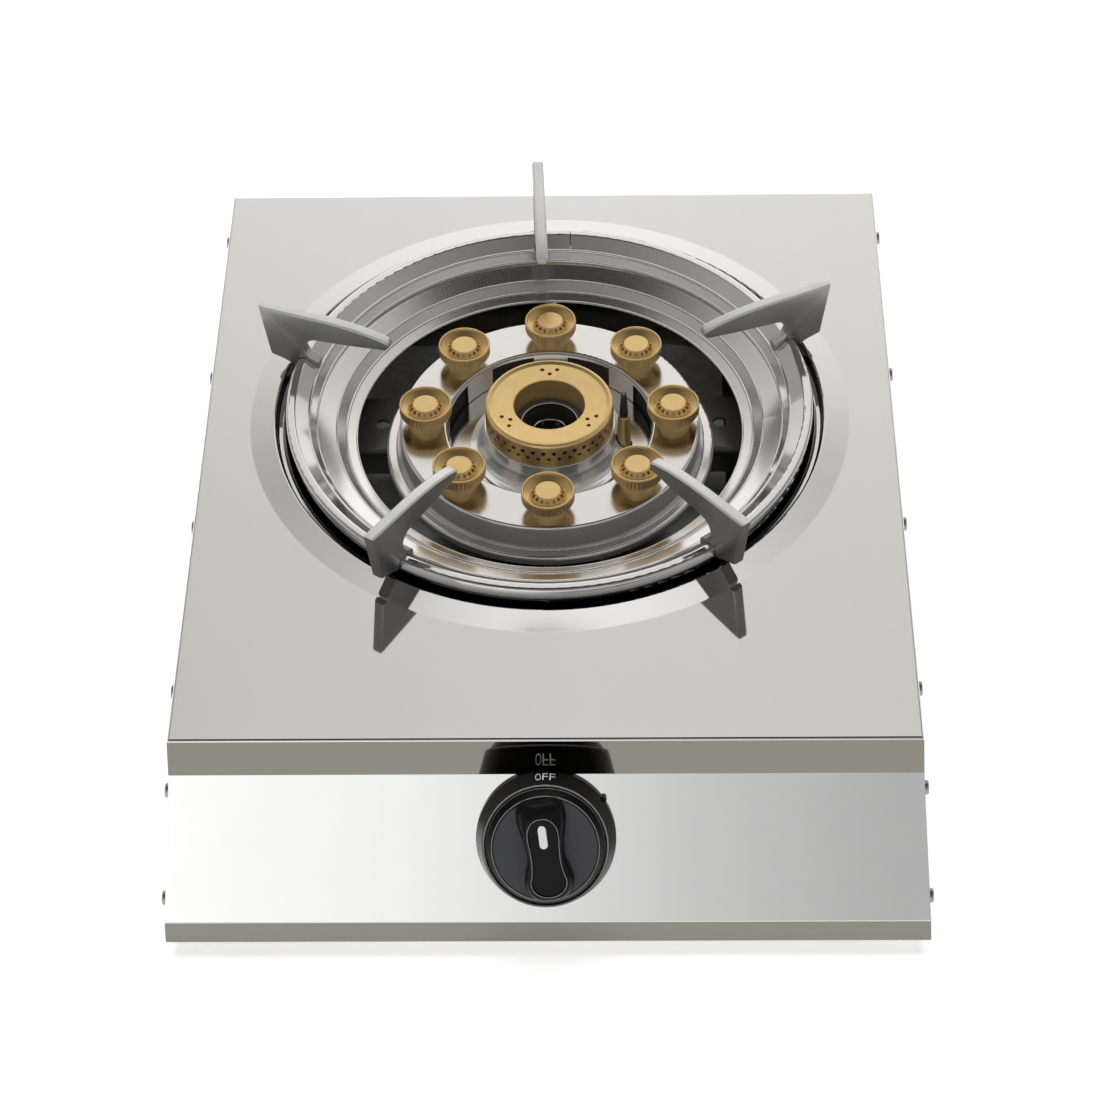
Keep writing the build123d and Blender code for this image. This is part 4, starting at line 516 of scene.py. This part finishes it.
class StoveColours(bpy.types.PropertyGroup):
    """Colours of the stove's finishes."""

    steel: tone_property("Sheet steel", "Polished stainless of the body", 0.66, 0.645, 0.62)
    # Painted reflections: darker colours on the front lips and the sides that stand in for a shaded floor
    # they mirror
    painted_lip_reflection: tone_property("Lips", "Darker strip of the folded front lips", 0.20, 0.19, 0.165)
    side: tone_property("Sides", "Darker faces at the left and right", 0.13, 0.13, 0.125)
    tray: tone_property("Tray", "Stainless of the drip tray", 0.78, 0.765, 0.73)
    ring: tone_property("Ring", "Stainless of the pan support ring", 0.70, 0.69, 0.67)
    burner: tone_property("Burner steel", "Spun stainless of the burner", 0.78, 0.75, 0.71)
    post: tone_property("Post", "Bright post under the centre cap", 0.86, 0.86, 0.85)
    brass: tone_property("Brass", "Nozzles and centre cap", 0.80, 0.56, 0.245)
    claw: tone_property("Claws", "Coated casting of the claws", 0.72, 0.715, 0.69)
    shield: tone_property("Heat shield", "Pale sheet under the burner", 0.90, 0.90, 0.89)
    plastic: tone_property("Knob", "Black plastic of knob and bezel", 0.005, 0.005, 0.005)
    # Painted highlight: lighter grey on the rounded edges of the knob and bezel
    edge: tone_property("Knob edges", "Light edges of knob and bezel", 0.20, 0.20, 0.19)
    face: tone_property("Knob face", "Grey disc behind the grip", 0.032, 0.032, 0.036)
    mark: tone_property("Mark", "White of the knob's mark and the lettering", 0.86, 0.86, 0.84)


class StoveSizes(bpy.types.PropertyGroup):
    """Sizes of the dressed details."""

    ring_hem: length_property("Ring hem", "Thickness of the hem on the ring's inner edge", 1.5)
    ring_bead: length_property("Ring bead", "Thickness of the bead between the ring's two slopes", 1.7)
    tray_hem: length_property("Tray hem", "Thickness of the hem on the tray's inner edge", 1.2)
    tray_bead: length_property("Tray bead", "Thickness of the beads on the tray's steps", 1.1)
    tube_edge: length_property("Tube edge", "Thickness of the bright edges in the air tube", 0.8)
    mouth_height: length_property("Mouth height", "Height of the collar on the air tube's mouth", 16.5)
    claw_edge: length_property("Claw edge", "Rounding of the claws' edges", 0.55)
    knob_shoulder: length_property("Knob shoulder", "Width of the sloping edge round the knob's face", 2.4)
    grip_height: length_property("Grip height", "Height of the grip over the knob's face", 8.0)
    grip_ridge: length_property("Grip ridge", "Width of the ridge round the thumb recess", 0.4)
    grip_recess: length_property("Grip recess", "Depth of the thumb recess", 0.7)
    letter_height: length_property("Letter height", "Height of the bezel's letters along its flank", 5.0)
    letter_gap: length_property("Letter gap", "From letter to letter round the bezel", 2.85)
    letter_width: length_property("Letter width", "Width of the bezel's letters", 2.25)


class StageSettings(bpy.types.PropertyGroup):
    """Camera, light and floor."""

    camera_x: length_property("Camera x", "Camera to the right of the middle", 28.11)
    camera_back: length_property("Camera back", "Camera in front of the front lip", 821.32)
    camera_rise: length_property("Camera rise", "Camera over the top panel", 952.76)
    camera_turn: angle_property("Turn", "Camera's turn to the left", 1.67)
    camera_dip: angle_property("Dip", "Camera's look down", 45.804)
    camera_roll: angle_property("Roll", "Camera's roll", -1.508)
    lens: bpy.props.FloatProperty(
        name="Lens", description="Focal length for a 36 mm sensor", subtype="DISTANCE_CAMERA", default=103.89
    )
    lamp_power: bpy.props.FloatProperty(
        name="Lamp", description="Power of the overhead lamp", unit="POWER", default=58.0
    )
    floor: tone_property("Floor", "Pale floor", 0.90, 0.90, 0.895)


def select_only(*objects):
    """Leaves just these objects selected, the first one active."""
    bpy.ops.object.select_all(action="DESELECT")
    for item in objects:
        item.select_set(True)
    bpy.context.view_layer.objects.active = objects[0]


def edit_whole(piece):
    """Opens a piece in edit mode with all of it selected."""
    select_only(piece)
    bpy.ops.object.mode_set(mode="EDIT")
    bpy.ops.mesh.select_all(action="SELECT")


def apply_place(piece, place):
    """Puts a piece's place into its mesh and leaves its object at the origin."""
    select_only(piece)
    piece.matrix_world = place
    bpy.ops.object.transform_apply(location=True, rotation=True, scale=True)


def tidy_mesh(piece, angle=SMOOTH_ANGLE):
    """Merges doubles, turns the faces outwards and shades them smooth up to an angle."""
    edit_whole(piece)
    bpy.ops.mesh.remove_doubles(threshold=MERGE)
    bpy.ops.mesh.normals_make_consistent(inside=False)
    bpy.ops.object.mode_set(mode="OBJECT")
    bpy.ops.object.shade_smooth_by_angle(angle=angle)


def round_edges(piece, width, angle=SHARP_ANGLE, edge_finish=None):
    """Rounds the sharp edges of a piece, in a finish of their own if one is named."""
    select_only(piece)
    bevel = piece.modifiers.new("round_edges", "BEVEL")
    bevel.width = width
    bevel.segments = EDGE_STEPS
    bevel.limit_method = "ANGLE"
    bevel.angle_limit = angle
    if edge_finish:
        piece.data.materials.append(finishes[edge_finish])
        bevel.material = len(piece.data.materials) - 1
    bpy.ops.object.modifier_apply(modifier=bevel.name)
    bpy.ops.object.shade_smooth_by_angle(angle=SMOOTH_ANGLE)


def settle(piece, body, slot, finish=None):
    """Gives a finished piece its finish and lets it ride on its body."""
    piece.data.materials.clear()
    piece.data.materials.append(finishes[finish or slot])
    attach(piece, body)


def merged_copy(node, name):
    """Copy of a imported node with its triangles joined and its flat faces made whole."""
    select_only(nodes[node])
    bpy.ops.object.duplicate()
    copy = bpy.context.object
    copy.name = name
    bpy.ops.object.parent_clear(type="CLEAR_KEEP_TRANSFORM")
    del copy["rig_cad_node"]
    del copy["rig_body"]
    bpy.ops.mesh.customdata_custom_splitnormals_clear()
    edit_whole(copy)
    bpy.ops.mesh.remove_doubles(threshold=MERGE)
    bpy.ops.mesh.dissolve_limited(angle_limit=FLAT_ANGLE)
    bpy.ops.object.mode_set(mode="OBJECT")
    return copy


def rolled_bead(name, place, radius, height, thickness, tall=None):
    """Bead that runs once round an axis, round or this tall."""
    bpy.ops.object.select_all(action="DESELECT")
    bpy.ops.mesh.primitive_circle_add(
        vertices=BEAD_SIDES,
        radius=thickness / 2,
        location=(radius, 0.0, height),
        rotation=(math.pi / 2, 0.0, 0.0),
    )
    bead = bpy.context.object
    bead.name = name
    bead.scale.y = (tall or thickness) / thickness
    bpy.ops.object.transform_apply(location=True, rotation=True, scale=True)
    edit_whole(bead)
    bpy.ops.mesh.spin(
        steps=BEAD_STEPS, angle=2 * math.pi, center=(0.0, 0.0, 0.0), axis=(0.0, 0.0, 1.0)
    )
    bpy.ops.object.mode_set(mode="OBJECT")
    apply_place(bead, place)
    tidy_mesh(bead, math.pi)
    return bead


def roll_beads(node, slot, beads):
    """Rolls (name, radius, height, thickness) beads round the burner's axis, to ride with a node."""
    for name, radius, height, thickness in beads:
        bead = rolled_bead(name, burner_place, radius, height, thickness)
        settle(bead, body_of_node[node], slot)


def turned_body(name, place, profile):
    """Closed round body made by drawing a disc up through (radius, height) steps."""
    bpy.ops.object.select_all(action="DESELECT")
    radius, height = profile[0]
    bpy.ops.mesh.primitive_circle_add(
        vertices=ROUND_SIDES, radius=radius, fill_type="NGON", location=(0.0, 0.0, height)
    )
    body = bpy.context.object
    body.name = name
    bpy.ops.object.transform_apply(location=True, rotation=True, scale=True)
    edit_whole(body)
    for next_radius, next_height in profile[1:]:
        rise = (0.0, 0.0, next_height - height)
        bpy.ops.mesh.extrude_region_move(TRANSFORM_OT_translate={"value": rise})
        share = next_radius / radius
        bpy.ops.transform.resize(value=(share, share, 1.0), center_override=(0.0, 0.0, 0.0))
        radius, height = next_radius, next_height
    bpy.ops.object.mode_set(mode="OBJECT")
    apply_place(body, place)
    tidy_mesh(body)
    return body


def flat_outline(name, points, height):
    """Smooth closed outline through these points (x, y), made a mesh at this height."""
    line = bpy.data.curves.new(name, "CURVE")
    line.dimensions = "3D"
    line.resolution_u = OUTLINE_STEPS
    spline = line.splines.new("BEZIER")
    spline.bezier_points.add(len(points) - 1)
    spline.use_cyclic_u = True
    for knot, (x, y) in zip(spline.bezier_points, points):
        knot.co = (x, y, height)
        knot.handle_left_type = "AUTO"
        knot.handle_right_type = "AUTO"
    outline = bpy.data.objects.new(name, line)
    bpy.context.collection.objects.link(outline)
    select_only(outline)
    bpy.ops.object.convert(target="MESH")
    return bpy.context.object


finishes = {}
special_finish = {
    "heat_shield": "pale_sheet",
    "burner_post": "post_chrome",
    "burner_crossbar": "black_enamel",
}


class STOVE_OT_mix_finishes(bpy.types.Operator):
    """Makes every finish"""

    bl_idname = "stove.mix_finishes"
    bl_label = "Mix finishes"

    def execute(self, context):
        finishes.update(all_finishes(context.scene.stove_colours))
        return {"FINISHED"}


class STOVE_OT_dress_nodes(bpy.types.Operator):
    """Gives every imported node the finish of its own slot, or the one that dresses this node"""

    bl_idname = "stove.dress_nodes"
    bl_label = "Dress packed nodes"

    def execute(self, context):
        for name, node in nodes.items():
            for slot in node.material_slots:
                own_finish = slot.material.name.split(".")[0]
                slot.material = finishes[special_finish.get(name, own_finish)]
        return {"FINISHED"}


# Bands in which an edge's height is read, and how hems and beads sit on the ring and the tray
EDGE_BAND, BEAD_BAND = 0.2 * MM, 0.3 * MM
RING_HEM_SHIFT, RING_HEM_SINK = 0.35 * MM, 0.3 * MM
RING_BEAD_STEP, RING_BEAD_BAND = 3.4 * MM, 0.6 * MM
RING_BEAD_SHIFT, RING_BEAD_SINK = 0.2 * MM, 0.35 * MM
TRAY_HEM_SHIFT, TRAY_HEM_SINK = 0.2 * MM, 0.35 * MM
TRAY_STEP, TRAY_STEP_SINK = 4.5 * MM, 0.2 * MM
TRAY_SHOULDER, TRAY_SHOULDER_SINK = 8.7 * MM, 0.35 * MM


class STOVE_OT_roll_ring(bpy.types.Operator):
    """Rolls the hem and the bead of the pan support ring"""

    bl_idname = "stove.roll_ring"
    bl_label = "Roll ring hem"

    def execute(self, context):
        sizes = context.scene.stove_sizes
        node = "pan_support_ring"
        inner = inner_radius(node)
        inner_z = rim(node, inner, inner + EDGE_BAND)
        step = inner + RING_BEAD_STEP
        step_z = rim(node, step - RING_BEAD_BAND, step + EDGE_BAND)
        beads = (
            ("ring_inner_hem", inner + RING_HEM_SHIFT, inner_z - RING_HEM_SINK, sizes.ring_hem),
            ("ring_bead", step + RING_BEAD_SHIFT, step_z - RING_BEAD_SINK, sizes.ring_bead),
        )
        roll_beads(node, "ring_steel", beads)
        return {"FINISHED"}


class STOVE_OT_roll_tray(bpy.types.Operator):
    """Rolls the hem and the step beads of the drip tray"""

    bl_idname = "stove.roll_tray"
    bl_label = "Roll tray hems"

    def execute(self, context):
        sizes = context.scene.stove_sizes
        node = "drip_tray"
        inner = inner_radius(node)
        inner_z = rim(node, inner, inner + EDGE_BAND)
        step = inner + TRAY_STEP
        step_z = rim(node, step - BEAD_BAND, step + BEAD_BAND)
        shoulder = inner + TRAY_SHOULDER
        shoulder_z = rim(node, shoulder - BEAD_BAND, shoulder + BEAD_BAND)
        beads = (
            ("tray_inner_hem", inner + TRAY_HEM_SHIFT, inner_z - TRAY_HEM_SINK, sizes.tray_hem),
            ("tray_low_bead", step, step_z - TRAY_STEP_SINK, sizes.tray_bead),
            ("tray_high_bead", shoulder, shoulder_z - TRAY_SHOULDER_SINK, sizes.tray_bead),
        )
        roll_beads(node, "tray_steel", beads)
        return {"FINISHED"}


# Radii of the burner's air tube and of the mouth inside it
AIR_TUBE, AIR_MOUTH = 12.2 * MM, 7.2 * MM


class STOVE_OT_edge_air_tube(bpy.types.Operator):
    """Turns the bright edges that show inside the burner's air tube"""

    bl_idname = "stove.edge_air_tube"
    bl_label = "Edge air tube"

    def execute(self, context):
        thickness = context.scene.stove_sizes.tube_edge
        tall = context.scene.stove_sizes.mouth_height
        shift = thickness / 4
        tube_z = rim("burner_body", AIR_TUBE - EDGE_BAND, AIR_TUBE + EDGE_BAND)
        mouth_z = rim("burner_body", AIR_MOUTH - EDGE_BAND, AIR_MOUTH + EDGE_BAND)
        edge = rolled_bead("tube_edge", burner_place, AIR_TUBE + shift, tube_z, thickness)
        middle = mouth_z + tall / 2
        collar = rolled_bead("mouth_collar", burner_place, AIR_MOUTH + shift, middle, thickness, tall)
        for piece in (edge, collar):
            settle(piece, body_of_node["burner_body"], "burner_steel")
        return {"FINISHED"}


class STOVE_OT_round_claws(bpy.types.Operator):
    """Rounds the edges of the cast claws"""

    bl_idname = "stove.round_claws"
    bl_label = "Round claws"

    def execute(self, context):
        width = context.scene.stove_sizes.claw_edge
        for name in nodes_named("claw_"):
            claw = merged_copy(name, "cast_" + name)
            round_edges(claw, width)
            settle(claw, body_of_node[name], "claw_metal")
            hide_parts(name)
        return {"FINISHED"}


# Half outlines of the grip, in millimetres right of its middle line and up the knob's face
GRIP_FOOT = (
    (8.0, 19.6), (10.0, 13.6), (9.2, 8.0), (7.8, 1.0),
    (7.7, -3.4), (9.3, -9.0), (9.9, -13.2), (6.9, -19.3),
)
GRIP_CREST = (
    (2.9, 13.6), (5.6, 10.6), (6.3, 7.6), (6.0, 1.0),
    (5.9, -3.4), (6.4, -8.0), (7.3, -12.6), (5.5, -16.3),
)
GRIP_TOPS = (20.7, 14.2)
GRIP_ENDS = (-20.7, -18.3)
GRIP_STEPS = 6
GRIP_TURN = math.radians(7.0)
GRIP_CREST_DROP = 0.6 * MM
GRIP_EDGE, GRIP_EDGE_ANGLE = 0.15 * MM, math.radians(40.0)

# Skirt of the knob and the disc let into its face
SKIRT_GAP, SKIRT_LIP, SKIRT_EDGE = 0.2 * MM, 0.6 * MM, 0.22 * MM
DISC_GAP, DISC_EDGE = 0.8 * MM, 0.1 * MM
DISC_SINK, DISC_RISE = 0.4 * MM, 0.15 * MM


def between(first, second, share):
    """Length between two lengths in millimetres, in metres."""
    return (first + (second - first) * share) * MM


def grip_outline(share):
    """Whole outline of the grip this far from its foot to its crest, clockwise from the top."""
    right = [
        (between(foot[0], crest[0], share), between(foot[1], crest[1], share))
        for foot, crest in zip(GRIP_FOOT, GRIP_CREST)
    ]
    left = [(-x, y) for x, y in reversed(right)]
    return [(0.0, between(*GRIP_TOPS, share)), *right, (0.0, between(*GRIP_ENDS, share)), *left]


class STOVE_OT_mould_knob(bpy.types.Operator):
    """Moulds the knob: its skirt and shoulder, its grey face and the waisted grip"""

    bl_idname = "stove.mould_knob"
    bl_label = "Mould knob"

    def execute(self, context):
        sizes = context.scene.stove_sizes
        face = knob_high - sizes.grip_height
        face_radius = knob_radius - sizes.knob_shoulder
        shoulder_z = bezel_height + SKIRT_GAP
        skirt = turned_body(
            "knob_skirt",
            knob_place,
            (
                (knob_radius, knob_low),
                (knob_radius, shoulder_z),
                (face_radius, face),
                (face_radius - SKIRT_LIP, face),
            ),
        )
        settle(skirt, body_of_node["knob"], "black_plastic")
        # The skirt's rounded edges take the lighter grey of a painted highlight
        round_edges(skirt, SKIRT_EDGE, edge_finish="painted_edge_highlight")
        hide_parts("knob")
        disc_radius = face_radius - DISC_GAP
        disc_steps = ((disc_radius, face - DISC_SINK), (disc_radius, face + DISC_RISE))
        disc = turned_body("knob_face", knob_place, disc_steps)
        round_edges(disc, DISC_EDGE)
        settle(disc, body_of_node["knob"], "grey_plastic", "knob_grey")
        grip = self.waisted_grip(sizes, face)
        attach(grip, body_of_node["knob"])
        return {"FINISHED"}

    def waisted_grip(self, sizes, face):
        """Bridges outlines up a quarter round into the grip and sinks the thumb recess into its crest."""
        crest = sizes.grip_height - GRIP_CREST_DROP
        angles = [math.pi / 2 * step / GRIP_STEPS for step in range(GRIP_STEPS + 1)]
        heights = [face + crest * math.sin(angle) for angle in angles]
        loops = [
            flat_outline("knob_grip", grip_outline(1.0 - math.cos(angle)), height)
            for angle, height in zip(angles, heights)
        ]
        select_only(*loops)
        bpy.ops.object.join()
        grip = bpy.context.object
        for name in ("black_plastic", "painted_edge_highlight"):
            grip.data.materials.append(finishes[name])
        edit_whole(grip)
        bpy.ops.mesh.bridge_edge_loops()
        bpy.ops.object.mode_set(mode="OBJECT")
        self.select_level(grip, heights[0])
        bpy.ops.mesh.edge_face_add()
        bpy.ops.object.mode_set(mode="OBJECT")
        self.select_level(grip, heights[-1])
        bpy.ops.mesh.edge_face_add()
        # The ridge round the thumb recess takes the lighter grey of a painted highlight
        grip.active_material_index = 1
        bpy.ops.object.material_slot_assign()
        bpy.ops.mesh.inset(thickness=sizes.grip_ridge)
        grip.active_material_index = 0
        bpy.ops.object.material_slot_assign()
        bpy.ops.mesh.inset(thickness=sizes.grip_ridge)
        bpy.ops.transform.translate(value=(0.0, 0.0, -sizes.grip_recess))
        bpy.ops.object.mode_set(mode="OBJECT")
        apply_place(grip, knob_place @ Matrix.Rotation(GRIP_TURN, 4, "Z"))
        tidy_mesh(grip)
        round_edges(grip, GRIP_EDGE, GRIP_EDGE_ANGLE)
        return grip

    def select_level(self, piece, height):
        """Selects the edges of one outline, in edit mode."""
        select_only(piece)
        bpy.ops.object.mode_set(mode="EDIT")
        bpy.ops.mesh.select_mode(type="EDGE")
        bpy.ops.mesh.select_all(action="DESELECT")
        bpy.ops.object.mode_set(mode="OBJECT")
        for edge in piece.data.edges:
            ends = (piece.data.vertices[index].co.z for index in edge.vertices)
            edge.select = all(abs(z - height) < MERGE for z in ends)
        bpy.ops.object.mode_set(mode="EDIT")


class STOVE_OT_coil_spring(bpy.types.Operator):
    """Puts a smooth-shaded copy of the valve's return spring, with a mesh of its own, in place of the
    imported one
    """

    bl_idname = "stove.coil_spring"
    bl_label = "Coil spring"

    def execute(self, context):
        spring = merged_copy("valve_spring", "return_spring")
        tidy_mesh(spring)
        settle(spring, body_of_node["valve_spring"], "spring_steel")
        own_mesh(spring)
        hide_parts("valve_spring")
        return {"FINISHED"}


# Bezel: the lean of its flank, the word that stands on it, and the fine rim on its top edge
FLANK_RUN, FLANK_RISE = 2.7, 9.9
FLANK_LEAN = math.atan2(FLANK_RUN, FLANK_RISE)
FLANK_FOOT = 2.5 * MM
WORD, WORD_HEIGHT = "OFF", 7.0 * MM
LETTER_BODY, LETTER_THINNING = 0.02, -0.012
LETTER_DEPTH = 5.0 * MM
RIM_BAND, RIM_SHIFT, RIM_SINK, RIM_THICKNESS = 0.1 * MM, 0.45 * MM, 0.2 * MM, 0.8 * MM


class STOVE_OT_letter_bezel(bpy.types.Operator):
    """Prints OFF on the bezel's flank and rounds its rim"""

    bl_idname = "stove.letter_bezel"
    bl_label = "Letter bezel"

    def execute(self, context):
        sizes = context.scene.stove_sizes
        self.round_rim()
        radius = bezel_radius - (WORD_HEIGHT - FLANK_FOOT) * math.tan(FLANK_LEAN)
        on_flank = Matrix.Translation((0.0, radius, WORD_HEIGHT))
        stand = on_flank @ Matrix.Rotation(FLANK_LEAN - math.pi / 2, 4, "X")
        middle = len(WORD) // 2
        letters = []
        for index, letter in enumerate(WORD):
            turn = Matrix.Rotation((middle - index) * sizes.letter_gap / radius, 4, "Z")
            letters.append(self.letter(letter, sizes, knob_place @ turn @ stand))
        select_only(*letters)
        bpy.ops.object.join()
        word = bpy.context.object
        word.name = "bezel_word"
        settle(word, body_of_node["knob_bezel"], "white_plastic")
        return {"FINISHED"}

    def letter(self, letter, sizes, place):
        """One flat letter, brought to size and stood on the flank."""
        bpy.ops.object.select_all(action="DESELECT")
        bpy.ops.object.text_add()
        text = bpy.context.object
        text.data.body = letter
        text.data.align_x = "CENTER"
        text.data.align_y = "CENTER"
        text.data.extrude = LETTER_BODY
        text.data.offset = LETTER_THINNING
        bpy.ops.object.convert(target="MESH")
        made = bpy.context.object
        corners = [Vector(corner) for corner in made.bound_box]
        centre = Matrix.Translation(-sum(corners, Vector()) / len(corners))
        width = sizes.letter_width / made.dimensions.x
        height = sizes.letter_height / made.dimensions.y
        apply_place(made, place @ Matrix.Diagonal((width, height, LETTER_DEPTH, 1.0)) @ centre)
        tidy_mesh(made)
        return made

    def round_rim(self):
        """Fine round rim on the bezel's top edge, in the lighter grey of a painted highlight."""
        inner = min(point.xy.length for point in bezel_points if point.z > bezel_height - RIM_BAND)
        height = bezel_height - RIM_SINK
        bead = rolled_bead("bezel_rim", knob_place, inner + RIM_SHIFT, height, RIM_THICKNESS)
        settle(bead, body_of_node["knob_bezel"], "black_plastic", "painted_edge_highlight")


# Stage: sizes and places in metres, and (place, level) stops of what shines
FLOOR_SIZE = (9.0, 9.0)
FLOOR_GLOW = 0.5
BACKDROP_SIZE, BACKDROP_PLACE = (4.2, 6.6), (0.0, 2.4, 3.3)
BACKDROP_TONE = colour(0.2, 0.2, 0.2)
BACKDROP_UPWARDS = ((0.0, 1.1), (0.95, 1.19), (1.9, 0.98), (2.4, 0.88), (3.0, 0.85), (5.9, 1.26))
BACKDROP_SIDEWAYS = (
    (-2.1, 0.5), (-1.25, 0.70), (-0.6, 0.90), (0.0, 1.0), (0.45, 0.97), (1.13, 0.88), (2.1, 0.6),
)
BACKDROP_MOST = 1.4
SOFTBOX_SIZE, SOFTBOX_PLACE = (3.0, 0.9), (-0.3, -2.6, 0.86)
SOFTBOX_ACROSS = ((-0.52, 1.63), (-0.233, 1.43), (0.125, 0.9), (0.36, 0.70))
SOFTBOX_MOST = 2.0
LAMP_SIZE, LAMP_PLACE = (2.4, 1.8), (0.0, 0.2, 2.6)
STUDIO_LEVELS = ((0.0, 0.2), (0.3, 0.36), (0.7, 0.38), (0.85, 0.2), (0.95, 0.05), (1.0, 0.04))
HORIZON_LEVELS = ((0.0, 1.0), (0.12, 1.0), (0.2, 0.0))
SENSOR = 36.0


def pale_surface(finish, tone, glow):
    """Closes a pale stage finish that keeps its shadows and glows to the eye and in mirrors."""
    diffuse = finish.node("BsdfDiffuse", sockets={"Color": tone})
    light = finish.node("Emission", sockets={"Color": WHITE, "Strength": finish.seen() * glow})
    both = finish.node("AddShader", sockets={0: diffuse, 1: light})
    finish.node("OutputMaterial", sockets={"Surface": both})
    return finish.material


def backdrop_material(name):
    """Pale backdrop with a painted glow that falls off towards its sides and dips half way up."""
    finish = Finish(name)
    x, y, z = finish.split(finish.place())
    rise = finish.profile(z, BACKDROP_UPWARDS, BACKDROP_MOST)
    spread = finish.profile(x, BACKDROP_SIDEWAYS)
    return pale_surface(finish, BACKDROP_TONE, rise * spread)


def card_material(name):
    """Softbox face whose light fades across it."""
    finish = Finish(name)
    x = finish.split(finish.place())[0]
    strength = finish.profile(x, SOFTBOX_ACROSS, SOFTBOX_MOST)
    light = finish.node("Emission", sockets={"Color": COOL_WHITE, "Strength": strength})
    finish.node("OutputMaterial", sockets={"Surface": light})
    return finish.material


def stage_plane(name, size, location, rotation, material):
    """Flat stage piece of this size."""
    bpy.ops.object.select_all(action="DESELECT")
    bpy.ops.mesh.primitive_plane_add(size=1.0, location=location, rotation=rotation)
    made = bpy.context.object
    made.name = name
    made.scale = (size[0], size[1], 1.0)
    bpy.ops.object.transform_apply(location=True, rotation=True, scale=True)
    made.data.materials.append(material)


class STOVE_OT_set_stage(bpy.types.Operator):
    """Sets the floor, backdrop, lights and camera"""

    bl_idname = "stove.set_stage"
    bl_label = "Set stage"

    def execute(self, context):
        stage = context.scene.stove_stage
        flat = (0.0, 0.0, 0.0)
        upright = (math.pi / 2, 0.0, 0.0)
        pale = pale_surface(Finish("pale_floor"), tuple(stage.floor), FLOOR_GLOW)
        wall = backdrop_material("pale_backdrop")
        card = card_material("softbox_face")
        stage_plane("floor", FLOOR_SIZE, (0.0, 0.0, 0.0), flat, pale)
        stage_plane("backdrop", BACKDROP_SIZE, BACKDROP_PLACE, upright, wall)
        stage_plane("softbox", SOFTBOX_SIZE, SOFTBOX_PLACE, upright, card)
        bpy.ops.object.light_add(type="AREA", location=LAMP_PLACE)
        lamp = context.object
        lamp.name = "overhead_lamp"
        lamp.data.shape = "RECTANGLE"
        lamp.data.size, lamp.data.size_y = LAMP_SIZE
        lamp.data.energy = stage.lamp_power
        lamp.visible_glossy = False
        self.set_world(context)
        self.set_camera(context, stage)
        context.scene.view_settings.view_transform = "Standard"
        return {"FINISHED"}

    def set_world(self, context):
        """Studio that is grey round the sides and dark overhead, and pale at the horizon to the eye."""
        world = bpy.data.worlds.new("studio")
        world.use_nodes = True
        context.scene.world = world
        finish = Finish("studio", world.node_tree)
        z = finish.split(finish.node("TexCoord", output="Generated"))[2]
        level = finish.profile(z, STUDIO_LEVELS)
        horizon = finish.profile(z, HORIZON_LEVELS) * finish.seen()
        strength = level * (1.0 - horizon) + horizon
        background = finish.node("Background", sockets={"Color": WHITE, "Strength": strength})
        finish.node("OutputWorld", sockets={"Surface": background})

    def set_camera(self, context, stage):
        """Stands the camera in front of the stove, turned, dipped and rolled by its settings."""
        turn, dip, roll = stage.camera_turn, stage.camera_dip, stage.camera_roll
        right = Vector((math.cos(turn), math.sin(turn), 0.0))
        ahead = Vector((-math.sin(turn) * math.cos(dip), math.cos(turn) * math.cos(dip), -math.sin(dip)))
        above = right.cross(ahead)
        camera_right = math.cos(roll) * right + math.sin(roll) * above
        camera_up = math.cos(roll) * above - math.sin(roll) * right
        bpy.ops.object.camera_add()
        camera = context.object
        camera.name = "photo_camera"
        camera.data.lens = stage.lens
        camera.data.sensor_width = SENSOR
        turned = Matrix((camera_right, camera_up, -ahead)).transposed().to_4x4()
        place = Vector((stage.camera_x, lip_y - stage.camera_back, top_z + stage.camera_rise))
        camera.matrix_world = Matrix.Translation(place) @ turned
        context.scene.camera = camera


class STOVE_PT_panel(bpy.types.Panel):
    """Lists the stove's operators and settings"""

    bl_idname = "STOVE_PT_panel"
    bl_label = "Gas stove"
    bl_space_type = "VIEW_3D"
    bl_region_type = "UI"
    bl_category = "Stove"

    def draw(self, context):
        scene = context.scene
        for operator in operators:
            self.layout.operator(operator.bl_idname)
        for group in (scene.stove_colours, scene.stove_sizes, scene.stove_stage):
            column = self.layout.column()
            for name in group.__annotations__:
                column.prop(group, name)


operators = (
    STOVE_OT_mix_finishes,
    STOVE_OT_dress_nodes,
    STOVE_OT_roll_ring,
    STOVE_OT_roll_tray,
    STOVE_OT_edge_air_tube,
    STOVE_OT_round_claws,
    STOVE_OT_mould_knob,
    STOVE_OT_coil_spring,
    STOVE_OT_letter_bezel,
    STOVE_OT_set_stage,
)
groups = {"stove_colours": StoveColours, "stove_sizes": StoveSizes, "stove_stage": StageSettings}
classes = (*groups.values(), *operators, STOVE_PT_panel)


def register():
    """Registers the classes and hangs their settings on the scene."""
    for cls in classes:
        bpy.utils.register_class(cls)
    for name, group in groups.items():
        setattr(bpy.types.Scene, name, bpy.props.PointerProperty(type=group))


def unregister():
    """Takes the settings and the classes away again."""
    for name in groups:
        delattr(bpy.types.Scene, name)
    for cls in reversed(classes):
        bpy.utils.unregister_class(cls)


def main():
    """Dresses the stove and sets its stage."""
    register()
    bpy.ops.stove.mix_finishes()
    bpy.ops.stove.dress_nodes()
    bpy.ops.stove.roll_ring()
    bpy.ops.stove.roll_tray()
    bpy.ops.stove.edge_air_tube()
    bpy.ops.stove.round_claws()
    bpy.ops.stove.mould_knob()
    bpy.ops.stove.coil_spring()
    bpy.ops.stove.letter_bezel()
    bpy.ops.stove.set_stage()


if __name__ == "__main__":
    main()
